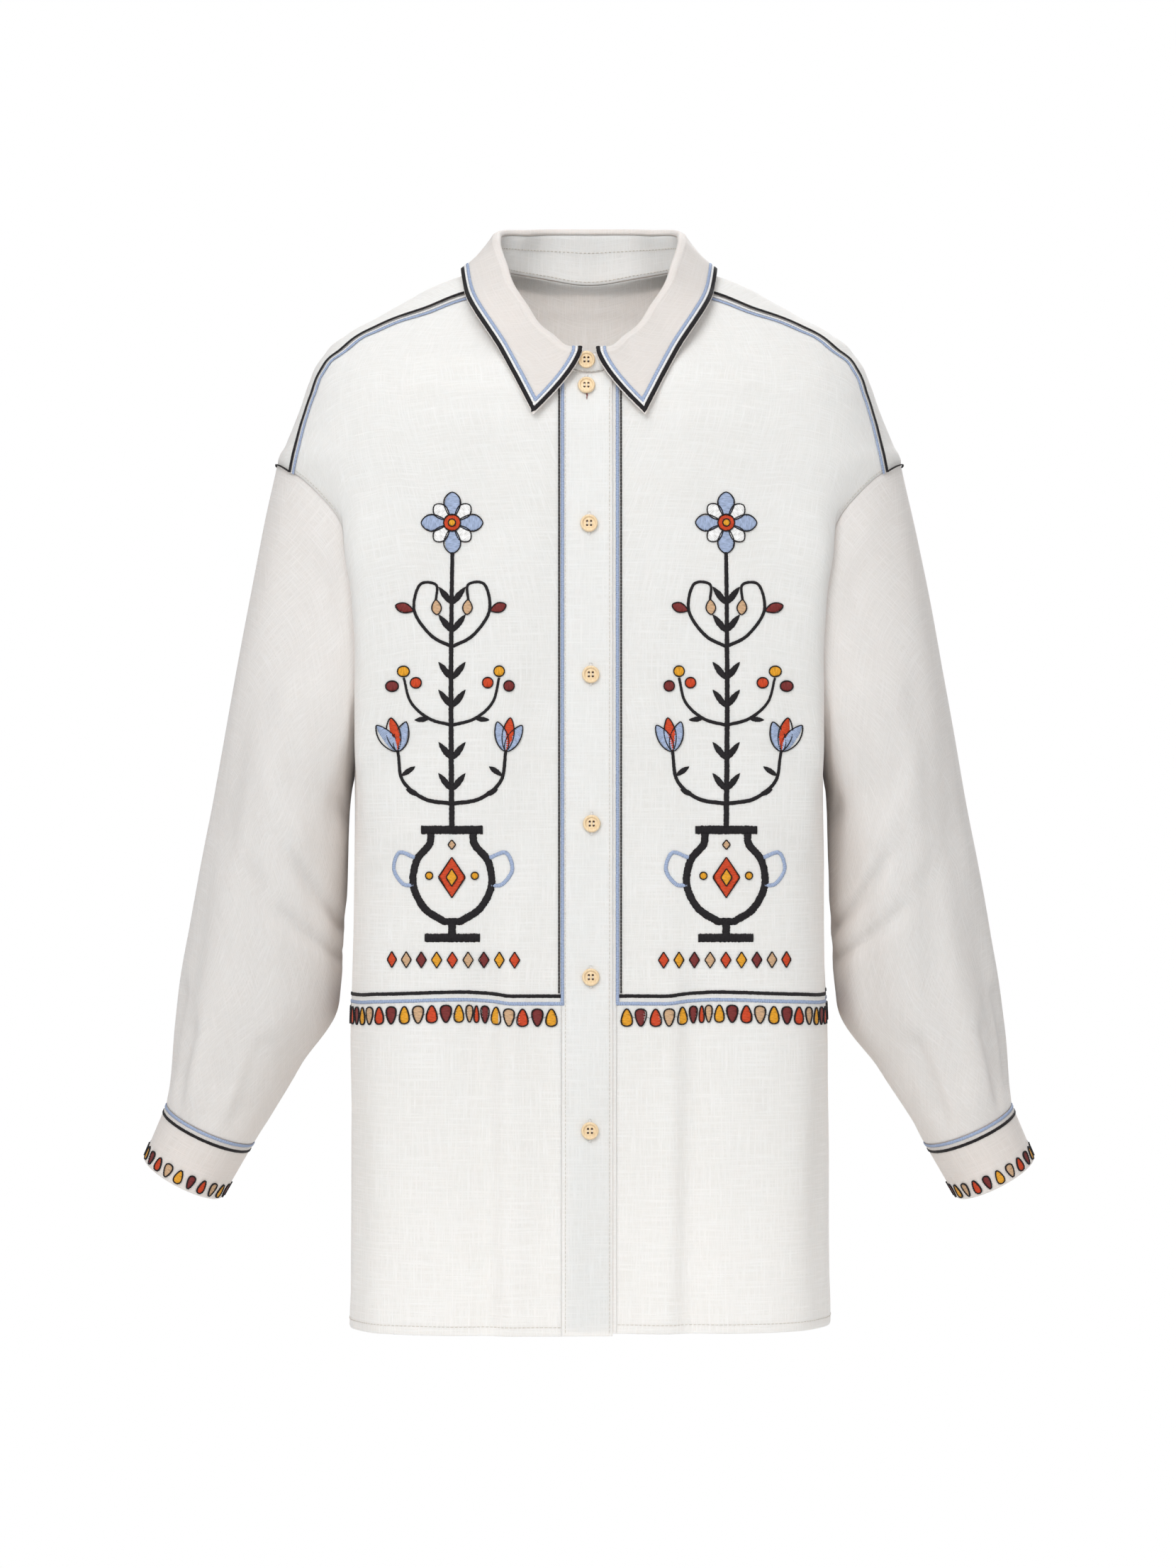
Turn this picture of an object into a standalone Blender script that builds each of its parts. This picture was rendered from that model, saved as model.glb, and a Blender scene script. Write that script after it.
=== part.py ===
"""An embroidered linen blouse, hollow as it is worn.

Metres, +Z up. The wearer faces -Y, so the wearer's right side is at -X. The origin is at the
middle of the neck, level with the shoulders that carry the blouse.

The body is one smooth surface of stacked rings, each a rounded rectangle in plan. Every panel
is a patch of that surface between its own seams, and each patch gets the thickness of its
cloth inwards. The sleeves start on the armhole curve and the collar on the neck curve.
"""

import math

import bmesh
import bpy
import numpy as np
from mathutils import Vector

# Cloth
PANEL_WALL = 0.0012
DOUBLE_WALL = 0.0016
COLLAR_WALL = 0.0018
SEAM_GAP = 0.0003

# Rings of the body. Below is measured down from the origin, and squareness is the power of
# the ring's outline: 2 is an ellipse, and a higher one has flatter sides.
BODY_RINGS = (
    # name, below, half width, front depth, back depth, squareness
    ("over the neck", -0.006, 0.056, 0.004, 0.045, 2.4),
    ("side neck", -0.001, 0.070, 0.008, 0.057, 2.4),
    ("back neck", 0.005, 0.090, 0.0135, 0.065, 2.4),
    ("neck end of the shoulder", 0.010, 0.104, 0.019, 0.070, 2.4),
    ("inner shoulder", 0.0225, 0.128, 0.031, 0.081, 2.4),
    ("middle shoulder", 0.035, 0.150, 0.045, 0.090, 2.4),
    ("outer shoulder", 0.0475, 0.172, 0.0565, 0.096, 2.4),
    ("shoulder point", 0.060, 0.186, 0.0695, 0.101, 2.4),
    ("front neck", 0.080, 0.197, 0.088, 0.106, 2.45),
    ("over the arm", 0.0975, 0.203, 0.095, 0.109, 2.5),
    ("dropped shoulder", 0.125, 0.214, 0.100, 0.112, 2.55),
    ("sleeve head", 0.139, 0.2195, 0.101, 0.113, 2.6),
    ("under the sleeve head", 0.150, 0.2175, 0.102, 0.1135, 2.65),
    ("armhole top", 0.180, 0.199, 0.104, 0.114, 2.95),
    ("armhole upper part", 0.205, 0.184, 0.105, 0.1145, 3.5),
    ("armhole middle", 0.245, 0.168, 0.106, 0.115, 4.4),
    ("above the armpit", 0.300, 0.164, 0.1065, 0.115, 4.6),
    ("armpit", 0.350, 0.1635, 0.107, 0.1145, 4.6),
    ("under the armpit", 0.420, 0.1645, 0.107, 0.113, 4.6),
    ("waist", 0.500, 0.1665, 0.107, 0.112, 4.5),
    ("hip", 0.560, 0.1680, 0.1075, 0.1115, 4.4),
    ("hem", 0.745, 0.168, 0.108, 0.110, 4.2),
)

# Upright folds of the body. Turn is the compass angle in plan, 0 at the wearer's left side
# and 90 at the middle of the front.
BODY_FOLDS = (
    # name, turn, half width in degrees, height, starts below, full below
    ("left front hollow", 56, 5.0, -0.0030, 0.36, 0.52),
    ("left front ridge", 63, 5.0, 0.0016, 0.36, 0.54),
    ("left side hollow", 24, 5.5, -0.0026, 0.40, 0.60),
    ("right front hollow", 124, 5.0, -0.0030, 0.36, 0.52),
    ("right front ridge", 117, 5.0, 0.0016, 0.36, 0.54),
    ("right side hollow", 155, 5.5, -0.0024, 0.42, 0.62),
    ("back left ridge", -42, 6.0, 0.0040, 0.22, 0.52),
    ("back left hollow", -56, 5.5, -0.0044, 0.20, 0.48),
    ("back middle ridge", -84, 7.0, 0.0034, 0.18, 0.56),
    ("back right hollow", -117, 6.0, -0.0042, 0.20, 0.50),
    ("back right ridge", -133, 6.0, 0.0042, 0.24, 0.54),
)

# Front opening
PLACKET_SEAM = 0.0189
PLACKET_EDGE = 0.0160
BAND_STEPS = 3
LAP = 0.0022
LAP_STARTS = 0.045
HEM_RIGHT = 0.7410
HEM_LEFT = 0.7395
HEM_BACK = 0.7405

# Neck
NECK_HALF_WIDTH = 0.070
NECK_FRONT = 0.088
NECK_BACK = 0.065
YOKE_MEETS_NECK = 103

# Armhole, seen from the side: a rounded loop that is squarer at its top
ARMHOLE_MIDDLE = 0.2445
ARMHOLE_HALF_HEIGHT = 0.1055
ARMHOLE_HALF_DEPTH = 0.076
ARMHOLE_SQUARE_TOP = 3.6
ARMHOLE_SQUARE_BOTTOM = 2.4
YOKE_FRONT_TURN = 21.0
YOKE_BACK_TURN = -30.0

# The yoke's front seam between the neck and the armhole, on the wearer's left side
YOKE_FRONT_SEAM = (
    # name, across, below
    ("beside the collar", 0.0873, 0.0194),
    ("inner", 0.1131, 0.0302),
    ("middle", 0.1479, 0.0435),
    ("outer", 0.1737, 0.0607),
    ("bend", 0.1860, 0.0732),
    ("over the arm", 0.1929, 0.0912),
    ("down the arm", 0.1973, 0.1057),
    ("last", 0.2012, 0.1217),
)
YOKE_BACK_MIDDLE = 0.118

# Sleeve on the wearer's left side: its outer and inner line in the front view, half its depth
# from front to back, how far it lies back, and how far its front hangs below its back.
SLEEVE = (
    # name, along, outer across, outer below, inner across, inner below, half depth, back, tilt
    ("armhole", 0.00, 0.2195, 0.139, 0.1635, 0.350, 0.0760, 0.000, 0.0),
    ("under the armhole", 0.12, 0.2308, 0.193, 0.1690, 0.378, 0.0765, 0.000, 0.3),
    ("upper arm", 0.30, 0.2473, 0.276, 0.1700, 0.418, 0.0755, 0.001, 1.0),
    ("elbow", 0.50, 0.2640, 0.368, 0.1715, 0.463, 0.0710, 0.003, 2.0),
    ("forearm", 0.70, 0.2820, 0.463, 0.1745, 0.512, 0.0640, 0.005, 3.5),
    ("above the cuff", 0.85, 0.2918, 0.525, 0.2035, 0.563, 0.0560, 0.006, 5.0),
    ("near the cuff", 0.95, 0.2960, 0.566, 0.2250, 0.5975, 0.0480, 0.006, 5.5),
    ("cuff seam", 1.00, 0.2980, 0.588, 0.2365, 0.616, 0.0425, 0.006, 5.5),
)
CUFF = (
    # name, along, outer across, outer below, inner across, inner below, half depth, back, tilt
    ("cuff seam", 0.00, 0.2982, 0.5883, 0.2367, 0.6163, 0.0425, 0.006, 5.5),
    ("cuff edge", 1.00, 0.3145, 0.6265, 0.2595, 0.6555, 0.0405, 0.010, 5.5),
)
# Lengthwise folds of the sleeve. Angle is 0 on the outer line and 90 in front.
SLEEVE_FOLDS = (
    # name, angle, half width in degrees, height, starts along, full along
    ("outer hollow", 38, 12, -0.0030, 0.55, 0.86),
    ("front ridge", 66, 13, 0.0026, 0.50, 0.84),
    ("inner hollow", 128, 14, -0.0028, 0.40, 0.80),
    ("back hollow", -52, 14, -0.0034, 0.45, 0.84),
    ("back ridge", -88, 14, 0.0030, 0.40, 0.82),
)
SHAPE_SETTLES = 0.38
SLEEVE_CLEARS = 0.0030

# Collar: its lines by the angle round the neck, 0 at the middle of the back
STAND_TOP = (
    # name, angle, across, forward, below
    ("middle back", 0, 0.0000, -0.0630, -0.0305),
    ("back corner", 45, 0.0450, -0.0440, -0.0280),
    ("side", 88, 0.0645, 0.0010, -0.0185),
    ("front of the side", 112, 0.0590, 0.0340, 0.0030),
    ("front curve", 138, 0.0430, 0.0650, 0.0360),
    ("towards the button", 158, 0.0245, 0.0835, 0.0560),
    ("over the button", 172, 0.0090, 0.0900, 0.0620),
    ("end", 194, -0.0165, 0.0895, 0.0625),
)
FALL_EDGE = (
    # name, angle, across, forward, below
    ("middle back", 0, 0.0000, -0.0765, 0.0090),
    ("back corner", 45, 0.0620, -0.0560, 0.0050),
    ("over the shoulder", 85, 0.0905, -0.0020, 0.0010),
    ("at the yoke seam", 112, 0.0880, 0.0270, 0.0165),
    ("front edge", 145, 0.0620, 0.0800, 0.0640),
    ("tip", 174, 0.0385, 0.1050, 0.1096),
)
STAND_BULGE = 0.0012

# Buttons of the front, wearer's right band
BUTTON_RADIUS = 0.0060
BUTTON_HEIGHT = 0.0028
BUTTON_DISH = 0.0009
BUTTONS = (
    # name, across, below
    ("button_stand", -0.0020, 0.0708),
    ("button_1", -0.0018, 0.0893),
    ("button_2", 0.0000, 0.1844),
    ("button_3", 0.0012, 0.2880),
    ("button_4", 0.0018, 0.3901),
    ("button_5", 0.0012, 0.4951),
    ("button_6", 0.0006, 0.6002),
)

# How finely the panels are divided. Neighbours share these counts along their seam.
NECK_STEPS = 5
SEAM_STEPS = 8
BACK_NECK_STEPS = 14
SIDE_STEPS = 13
ARMHOLE_STEPS = 9
YOKE_STEPS = 8
SLEEVE_STEPS = 16
TOP_ROWS_CROWD = 1.35
DENSE = 400
NUDGE = 0.0001

# Angles round the neck where the front bands start and where the outer one ends
BAND_STARTS = 180 - math.degrees(math.asin(PLACKET_SEAM / NECK_HALF_WIDTH))
BAND_ENDS = 180 + math.degrees(math.asin(PLACKET_EDGE / NECK_HALF_WIDTH))

LINEN = ("linen", (0.90, 0.89, 0.85), 0.85)
LINEN_BAND = ("linen_double", (0.91, 0.90, 0.86), 0.82)
BUTTON_CREAM = ("button_cream", (0.86, 0.78, 0.60), 0.35)


def columns(table):
    """The number columns of a table, without its column of names."""
    return [np.array(column, float) for column in list(zip(*table))[1:]]


def eased(x, xs, ys):
    """A smooth curve through the points (xs, ys) that never overshoots them."""
    step = np.diff(xs)
    slope = np.diff(ys) / step
    before, after = slope[:-1], slope[1:]
    same_way = before * after > 0
    total = np.where(same_way, before + after, 1.0)
    middle = np.where(same_way, 2 * before * after / total, 0.0)
    tangent = np.concatenate([[slope[0]], middle, [slope[-1]]])
    i = np.clip(np.searchsorted(xs, x) - 1, 0, len(xs) - 2)
    t = np.clip((x - xs[i]) / step[i], 0, 1)
    from_left = ys[i] + tangent[i] * step[i] * t
    from_right = ys[i + 1] - tangent[i + 1] * step[i] * (1 - t)
    blend = t * t * (3 - 2 * t)
    return from_left * (1 - blend) + from_right * blend


def ramp(x, start, end):
    """0 before start, 1 after end, and smooth between them."""
    t = np.clip((x - start) / (end - start), 0, 1)
    return t * t * (3 - 2 * t)


def evenly(points, count):
    """The given line of points again as count + 1 points at even distances."""
    lengths = np.linalg.norm(np.diff(points, axis=0), axis=1)
    along = np.concatenate([[0], np.cumsum(lengths)])
    at = np.linspace(0, along[-1], count + 1)
    return np.stack([np.interp(at, along, axis) for axis in points.T], axis=1)


def unit(vectors):
    return vectors / np.linalg.norm(vectors, axis=-1, keepdims=True)


def ring(z):
    """Half width, front depth, back depth and squareness of the body at a height."""
    below, *sizes = columns(BODY_RINGS)
    return [eased(-z, below, size) for size in sizes]


def body_radius(turn, z):
    """How far the body's outer face lies from its middle line."""
    width, front, back, square = ring(z)
    depth = np.where(np.sin(turn) > 0, front, back)
    along_x = (np.abs(np.cos(turn)) / width) ** square
    along_y = (np.abs(np.sin(turn)) / depth) ** square
    radius = (along_x + along_y) ** (-1 / square)
    for _, angle, half_width, height, start, full in BODY_FOLDS:
        away = np.degrees(np.angle(np.exp(1j * (turn - math.radians(angle)))))
        radius = radius + height * np.exp(-((away / half_width) ** 2)) * ramp(-z, start, full)
    return radius


def body(turn, z, out=0.0):
    """Points on the body's outer face, or that far outside it."""
    turn, z = np.broadcast_arrays(turn, z)
    reach = body_radius(turn, z) + out
    return np.stack([reach * np.cos(turn), -reach * np.sin(turn), z], axis=-1)


def body_ways_in(points):
    """The directions straight into the cloth at points on the body."""
    turn, z = np.arctan2(-points[..., 1], points[..., 0]), points[..., 2]
    round_body = body(turn + NUDGE, z) - body(turn - NUDGE, z)
    up_body = body(turn, z + NUDGE) - body(turn, z - NUDGE)
    ways = unit(np.cross(round_body, up_body))
    outwards = np.sum(ways * points * (1, 1, 0), axis=-1, keepdims=True)
    return ways * -np.sign(outwards)


def front_turn(x, z):
    """The turn at which the body's front lies at a given x."""
    width, front, _, square = ring(z)
    y = front * (1 - (np.abs(x) / width) ** square) ** (1 / square)
    turn = np.arctan2(y, x)
    for _ in range(5):
        point = body(turn, z)
        turn = turn - (point[..., 0] - x) / point[..., 1]
    return turn


def height_at(x, y):
    """The height at which the shoulders' surface passes over a place in plan."""
    high, low = np.full(np.shape(x), 0.006), np.full(np.shape(x), -0.30)
    for _ in range(45):
        middle = (high + low) / 2
        width, front, back, square = ring(middle)
        depth = np.where(y < 0, front, back)
        outside = (np.abs(x) / width) ** square + (np.abs(y) / depth) ** square > 1
        high, low = np.where(outside, middle, high), np.where(outside, low, middle)
    return (high + low) / 2


def neck(angle):
    """The left half of the neck seam by its angle in degrees, 0 at the back, 180 in front."""
    turn = np.radians(angle)
    reach = np.where(np.cos(turn) > 0, NECK_BACK, NECK_FRONT)
    x, y = NECK_HALF_WIDTH * np.sin(turn), reach * np.cos(turn)
    return np.stack([x, y, height_at(x, y)], axis=-1)


def armhole(angle):
    """The left armhole seam by its angle in degrees, 0 at the top and 90 in front."""
    turn = np.radians(angle)
    sine, cosine = np.sin(turn), np.cos(turn)
    power = 2 / np.where(cosine > 0, ARMHOLE_SQUARE_TOP, ARMHOLE_SQUARE_BOTTOM)
    y = -ARMHOLE_HALF_DEPTH * np.sign(sine) * np.abs(sine) ** power
    z = -ARMHOLE_MIDDLE + ARMHOLE_HALF_HEIGHT * np.sign(cosine) * np.abs(cosine) ** power
    width, front, back, square = ring(z)
    depth = np.where(y < 0, front, back)
    x = width * (1 - (np.abs(y) / depth) ** square) ** (1 / square)
    return body(np.arctan2(-y, x), z)


def armhole_part(start, end, count):
    """Evenly spaced points of the armhole between two of its angles."""
    return evenly(armhole(np.linspace(start, end, DENSE)), count)


def yoke_front_seam():
    """The yoke's front seam on the left side, from the neck to the armhole."""
    first, last = neck(np.array([YOKE_MEETS_NECK]))[0], armhole(np.array([YOKE_FRONT_TURN]))[0]
    across, below = columns(YOKE_FRONT_SEAM)
    x, z = np.r_[first[0], across, last[0]], np.r_[first[2], -below, last[2]]
    along = np.r_[0, np.cumsum(np.hypot(np.diff(x), np.diff(z)))]
    at = np.linspace(0, along[-1], DENSE)
    x, z = eased(at, along, x), eased(at, along, z)
    return evenly(body(front_turn(x, z), z), SEAM_STEPS)


def yoke_back_seam():
    """The yoke's back seam, from the left armhole to the right one."""
    last = armhole(np.array([YOKE_BACK_TURN]))[0]
    x = np.linspace(last[0], -last[0], DENSE)
    z = -YOKE_BACK_MIDDLE + (last[2] + YOKE_BACK_MIDDLE) * (x / last[0]) ** 2
    width, _, back, square = ring(z)
    y = back * (1 - (np.abs(x) / width) ** square) ** (1 / square)
    return evenly(body(np.arctan2(-y, x), z), BACK_NECK_STEPS + 2 * SEAM_STEPS)


def on_body(points):
    """The turn and height of points on the body."""
    return np.stack([np.arctan2(-points[..., 1], points[..., 0]), points[..., 2]], axis=-1)


def filled(bottom, top, left, right):
    """A grid between four edge lines that meet at its corners."""
    u = np.linspace(0, 1, len(bottom))[None, :, None]
    v = np.linspace(0, 1, len(left))[:, None, None]
    sides = (1 - u) * left[:, None] + u * right[:, None]
    ends = (1 - v) * bottom[None] + v * top[None]
    low = (1 - u) * bottom[0] + u * bottom[-1]
    high = (1 - u) * top[0] + u * top[-1]
    return sides + ends - (1 - v) * low - v * high


def level_line(start, end, count):
    """Evenly spaced points round the body between two places, given by turn and height."""
    line = np.linspace(start, end, DENSE)
    return on_body(evenly(body(line[:, 0], line[:, 1]), count))


def panel_grid(hem_line, armpit_line, top, left, right):
    """A body panel's outer face, filled below the armpits and above them."""
    lower = filled(hem_line, armpit_line, left[: SIDE_STEPS + 1], right[: SIDE_STEPS + 1])
    upper = filled(armpit_line, top, left[SIDE_STEPS:], right[SIDE_STEPS:])
    domain = np.concatenate([lower[:-1], upper])
    return body(domain[..., 0], domain[..., 1])


def placket_heights(hem, angle):
    """Heights of the front's rows, from the hem to an angle of the neck seam."""
    top = neck(np.array([angle]))[0][2]
    armpit_level = np.interp(SIDE_STEPS, [0, SIDE_STEPS + ARMHOLE_STEPS], [-hem, top])
    lower = np.linspace(-hem, armpit_level, SIDE_STEPS + 1)
    share = 1 - (1 - np.linspace(0, 1, ARMHOLE_STEPS + 1)) ** TOP_ROWS_CROWD
    return np.r_[lower, armpit_level + share[1:] * (top - armpit_level)]


def lap_at(x):
    """How far the wearer's left side lies in, near the front opening."""
    return LAP * (1 - ramp(x, PLACKET_SEAM, LAP_STARTS))


def side_line(hem, armhole_points):
    """The side seam from the hem to the armpit, and then the armhole."""
    armpit = armhole_points[0]
    z = np.linspace(-hem, armpit[2], SIDE_STEPS + 1)
    return np.concatenate([body(np.zeros(SIDE_STEPS + 1), z)[:-1], armhole_points])


def front_grid(hem):
    """The left front panel's outer face, before the lap."""
    neck_edge = neck(np.linspace(BAND_STARTS, YOKE_MEETS_NECK, NECK_STEPS + 1))
    top = on_body(np.concatenate([neck_edge[:-1], yoke_front_seam()]))
    z = placket_heights(hem, BAND_STARTS)
    left = np.stack([front_turn(np.full(len(z), PLACKET_SEAM), z), z], axis=-1)
    left[-1] = top[0]
    right = on_body(side_line(hem, armhole_part(180, YOKE_FRONT_TURN, ARMHOLE_STEPS)))
    count = NECK_STEPS + SEAM_STEPS
    hem_line = level_line(left[0], right[0], count)
    armpit_line = level_line(left[SIDE_STEPS], right[SIDE_STEPS], count)
    return panel_grid(hem_line, armpit_line, top, left, right)


def lapped(grid):
    """The left front's points set back where the right front lies over it."""
    return grid + np.array([0.0, 1.0, 0.0]) * lap_at(grid[..., 0])[..., None]


def back_grid():
    left = on_body(side_line(HEM_BACK, armhole_part(-180, YOKE_BACK_TURN, ARMHOLE_STEPS)))
    right = left * (-1, 1) + (-math.pi, 0)
    top = on_body(yoke_back_seam())
    count = BACK_NECK_STEPS + 2 * SEAM_STEPS
    hem_line = level_line(left[0], right[0], count)
    armpit_line = level_line(left[SIDE_STEPS], right[SIDE_STEPS], count)
    return panel_grid(hem_line, armpit_line, top, left, right)


def yoke_grid():
    """The yoke's outer face: it runs from one armhole over both shoulders to the other."""
    seam = yoke_front_seam()
    round_neck = neck(np.linspace(YOKE_MEETS_NECK, -YOKE_MEETS_NECK, BACK_NECK_STEPS + 1))
    front = np.concatenate([seam[::-1][:-1], round_neck, (seam * (-1, 1, 1))[1:]])
    back = yoke_back_seam()
    end = armhole_part(YOKE_FRONT_TURN, YOKE_BACK_TURN, YOKE_STEPS)
    across = np.abs(np.linspace(-1, 1, len(front)))[None, :, None]
    v = np.linspace(0, 1, YOKE_STEPS + 1)[:, None, None]
    plan = (1 - v) * front[None, :, :2] + v * back[None, :, :2]
    straight_end = (1 - v[:, 0]) * front[0, :2] + v[:, 0] * back[0, :2]
    bow = (end[:, :2] - straight_end)[:, None] * across**3
    bow[:, len(front) // 2 :, 0] *= -1
    plan = plan + bow
    grid = np.concatenate([plan, height_at(plan[..., 0], plan[..., 1])[..., None]], axis=-1)
    grid[0], grid[-1] = front, back
    grid[:, 0], grid[:, -1] = end, end * (-1, 1, 1)
    return grid


def tube_ring(table, along, angle):
    """Points of a sleeve or cuff: an ellipse across its outer and inner line."""
    stations, *sizes = columns(table)
    outer_x, outer_b, inner_x, inner_b, depth, back, tilt = [
        eased(along, stations, size) for size in sizes
    ]
    zero = np.zeros_like(outer_x)
    outer = np.stack([outer_x, zero, -outer_b], axis=-1)
    inner = np.stack([inner_x, zero, -inner_b], axis=-1)
    middle = (outer + inner) / 2 + np.stack([zero, back, zero], axis=-1)
    half = (outer - inner) / 2
    down = unit(np.stack([half[..., 2], zero, -half[..., 0]], axis=-1))
    tilt = np.radians(tilt)[..., None]
    front = np.cos(tilt) * np.array([0.0, -1.0, 0.0]) + np.sin(tilt) * down
    cosine, sine = np.cos(angle)[..., None], np.sin(angle)[..., None]
    swell = 1.0
    if table is SLEEVE:
        for _, place, half_width, height, start, full in SLEEVE_FOLDS:
            away = np.degrees(np.angle(np.exp(1j * (angle - math.radians(place)))))
            fold = height * np.exp(-((away / half_width) ** 2)) * ramp(along, start, full)
            swell = swell + (fold / depth * (1 - ramp(along, 0.93, 1.0)))[..., None]
    return middle + swell * (half * cosine + depth[..., None] * front * sine)


def sleeve_grid():
    """The left sleeve's outer face, from the armhole to the cuff."""
    seam = np.concatenate(
        [
            armhole_part(YOKE_FRONT_TURN, YOKE_BACK_TURN, YOKE_STEPS)[:-1],
            armhole_part(YOKE_BACK_TURN, -180, ARMHOLE_STEPS)[:-1],
            armhole_part(180, YOKE_FRONT_TURN, ARMHOLE_STEPS)[:-1],
        ]
    )
    _, _, outer_x, outer_b, inner_x, inner_b, depth, _, _ = SLEEVE[0]
    middle = np.array([(outer_x + inner_x) / 2, 0, -(outer_b + inner_b) / 2])
    half = np.array([(outer_x - inner_x) / 2, 0, -(outer_b - inner_b) / 2])
    along_half = (seam - middle) @ half / (half @ half)
    angle = np.arctan2(-seam[:, 1] / depth, along_half)
    seam = seam + unit(seam * (1, 1, 0)) * (SEAM_GAP + 0.0001)
    stretch = seam - tube_ring(SLEEVE, np.zeros(len(angle)), angle)
    along = np.linspace(0, 1, SLEEVE_STEPS + 1) ** 1.15
    rows = []
    for station in along:
        points = tube_ring(SLEEVE, np.full(len(angle), station), angle)
        points = points + stretch * (1 - ramp(station, 0, SHAPE_SETTLES))
        rows.append(pushed_clear(points, SLEEVE_CLEARS * min(station / along[1], 1) + SEAM_GAP))
    return np.array(rows)


def pushed_clear(points, clearance):
    """The points moved sideways out of the body, where they come too near to it."""
    turn, z = on_body(points)[..., 0], points[..., 2]
    radius = np.hypot(points[..., 0], points[..., 1])
    least = body_radius(turn, z) + clearance
    grow = np.maximum(least / radius, 1.0)[..., None]
    return points * np.concatenate([grow, grow, np.ones_like(grow)], axis=-1)


def cuff_grid():
    angle = np.linspace(0, 2 * math.pi, 2 * ARMHOLE_STEPS + YOKE_STEPS + 1)[:-1]
    return np.array([tube_ring(CUFF, np.full(len(angle), a), angle) for a in (0, 0.5, 1)])


def collar_line(table, angle):
    """A line of the collar by its angle round the neck; a negative angle is at -X."""
    stations, across, forward, below = columns(table)
    size = np.abs(angle)
    side = np.where(angle < 0, -1, 1)
    x, y, z = [eased(size, stations, value) for value in (across, -forward, -below)]
    return np.stack([side * x, y, z], axis=-1)


def stand_line(table, angle):
    """The stand's foot, or its top from the table, set back where the left end laps under."""
    side = np.where(angle < 0, -1, 1)
    mirrored = np.stack([side, np.ones_like(side), np.ones_like(side)], axis=-1)
    line = neck(np.abs(angle)) * mirrored if table is None else collar_line(table, angle)
    return np.where((angle > 90)[..., None], lapped(line), line)


def stand_frame(angle):
    """The stand's foot and top, and its ways up and out, at each angle."""
    foot, top = stand_line(None, angle), stand_line(STAND_TOP, angle)
    up = unit(top - foot)
    along = stand_line(STAND_TOP, angle + 0.5) - stand_line(STAND_TOP, angle - 0.5)
    out = unit(np.cross(along, up))
    out = out * np.sign(np.sum(out * top * (1, 1, 0), axis=-1))[..., None]
    return foot, top, up, out


def collar_angles():
    """Angles of the collar's columns, which are the neck's own, and of the bands' columns."""
    back = np.linspace(0, YOKE_MEETS_NECK, BACK_NECK_STEPS // 2 + 1)
    front = np.linspace(YOKE_MEETS_NECK, BAND_STARTS, NECK_STEPS + 1)[1:]
    bands = np.linspace(BAND_STARTS, BAND_ENDS, BAND_STEPS + 1)[1:]
    return np.r_[back, front], bands


def both_sides(half):
    return np.r_[-half[::-1][:-1], half]


def stand_grid():
    """The stand's outer face and its ways in."""
    foot, top, up, out = stand_frame(both_sides(np.concatenate(collar_angles())))
    foot = foot + up * SEAM_GAP
    heights = np.linspace(0, 1, 4)[:, None, None]
    bulge = np.sin(np.pi * heights) * STAND_BULGE * out[None]
    grid = foot[None] + heights * (top - foot)[None] + bulge
    return grid, np.broadcast_to(-out, grid.shape)


def fall_grid():
    """The turned-down collar: it rises from the stand's top, rolls over and lies outwards."""
    round_neck, bands = collar_angles()
    angle = both_sides(np.r_[round_neck, bands[0]])
    _, top, up, out = stand_frame(angle)
    edge = collar_line(FALL_EDGE, angle)
    inside = top - out * DOUBLE_WALL
    rows = [
        inside + up * 2 * SEAM_GAP,
        inside - out * 0.0003 + up * 0.0026,
        top + out * 0.0004 + up * 0.0046,
        top + out * 0.0038 + up * 0.0026,
    ]
    start = rows[-1]
    bend = start + out * 0.0040 - up * 0.0100 + (edge - start) * 0.12
    for t in (0.25, 0.5, 0.75, 1.0):
        rows.append((1 - t) ** 2 * start + 2 * t * (1 - t) * bend + t * t * edge)
    return np.array(rows)


def band_grid(side, hem):
    """A front band's outer face, from its seam to its free edge; side 1 is the left one."""
    lines = []
    for angle in np.linspace(BAND_STARTS, BAND_ENDS, BAND_STEPS + 1):
        x = NECK_HALF_WIDTH * math.sin(math.radians(angle))
        z = placket_heights(hem, angle)
        lines.append(body(front_turn(np.full(len(z), x), z), z))
    return np.array(lines).transpose(1, 0, 2) * (side, 1, 1)


def parted(grid, wraps=False):
    """The grid with its edges drawn in by half the seam's gap."""
    grid = grid.copy()
    half = SEAM_GAP / 2
    first, last = unit(grid[1] - grid[0]), unit(grid[-2] - grid[-1])
    grid[0] += first * half
    grid[-1] += last * half
    if not wraps:
        first, last = unit(grid[:, 1] - grid[:, 0]), unit(grid[:, -2] - grid[:, -1])
        grid[:, 0] += first * half
        grid[:, -1] += last * half
    return grid


def material(name, colour, roughness):
    made = bpy.data.materials.get(name)
    if made is None:
        made = bpy.data.materials.new(name)
        made.use_nodes = True
        shader = made.node_tree.nodes["Principled BSDF"]
        shader.inputs["Base Color"].default_value = (*colour, 1)
        shader.inputs["Roughness"].default_value = roughness
        shader.inputs["Metallic"].default_value = 0
    return made


def grid_ways_in(grid, wraps):
    """The directions straight into the cloth at each point of a grid."""
    if wraps:
        across = np.roll(grid, -1, axis=1) - np.roll(grid, 1, axis=1)
    else:
        across = np.gradient(grid, axis=1)
    ways = unit(np.cross(across, np.gradient(grid, axis=0)))
    middle = grid.mean(axis=1, keepdims=True) if wraps else grid * (0, 0, 1)
    return ways * -np.sign(np.sum(ways * (grid - middle)))


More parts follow.
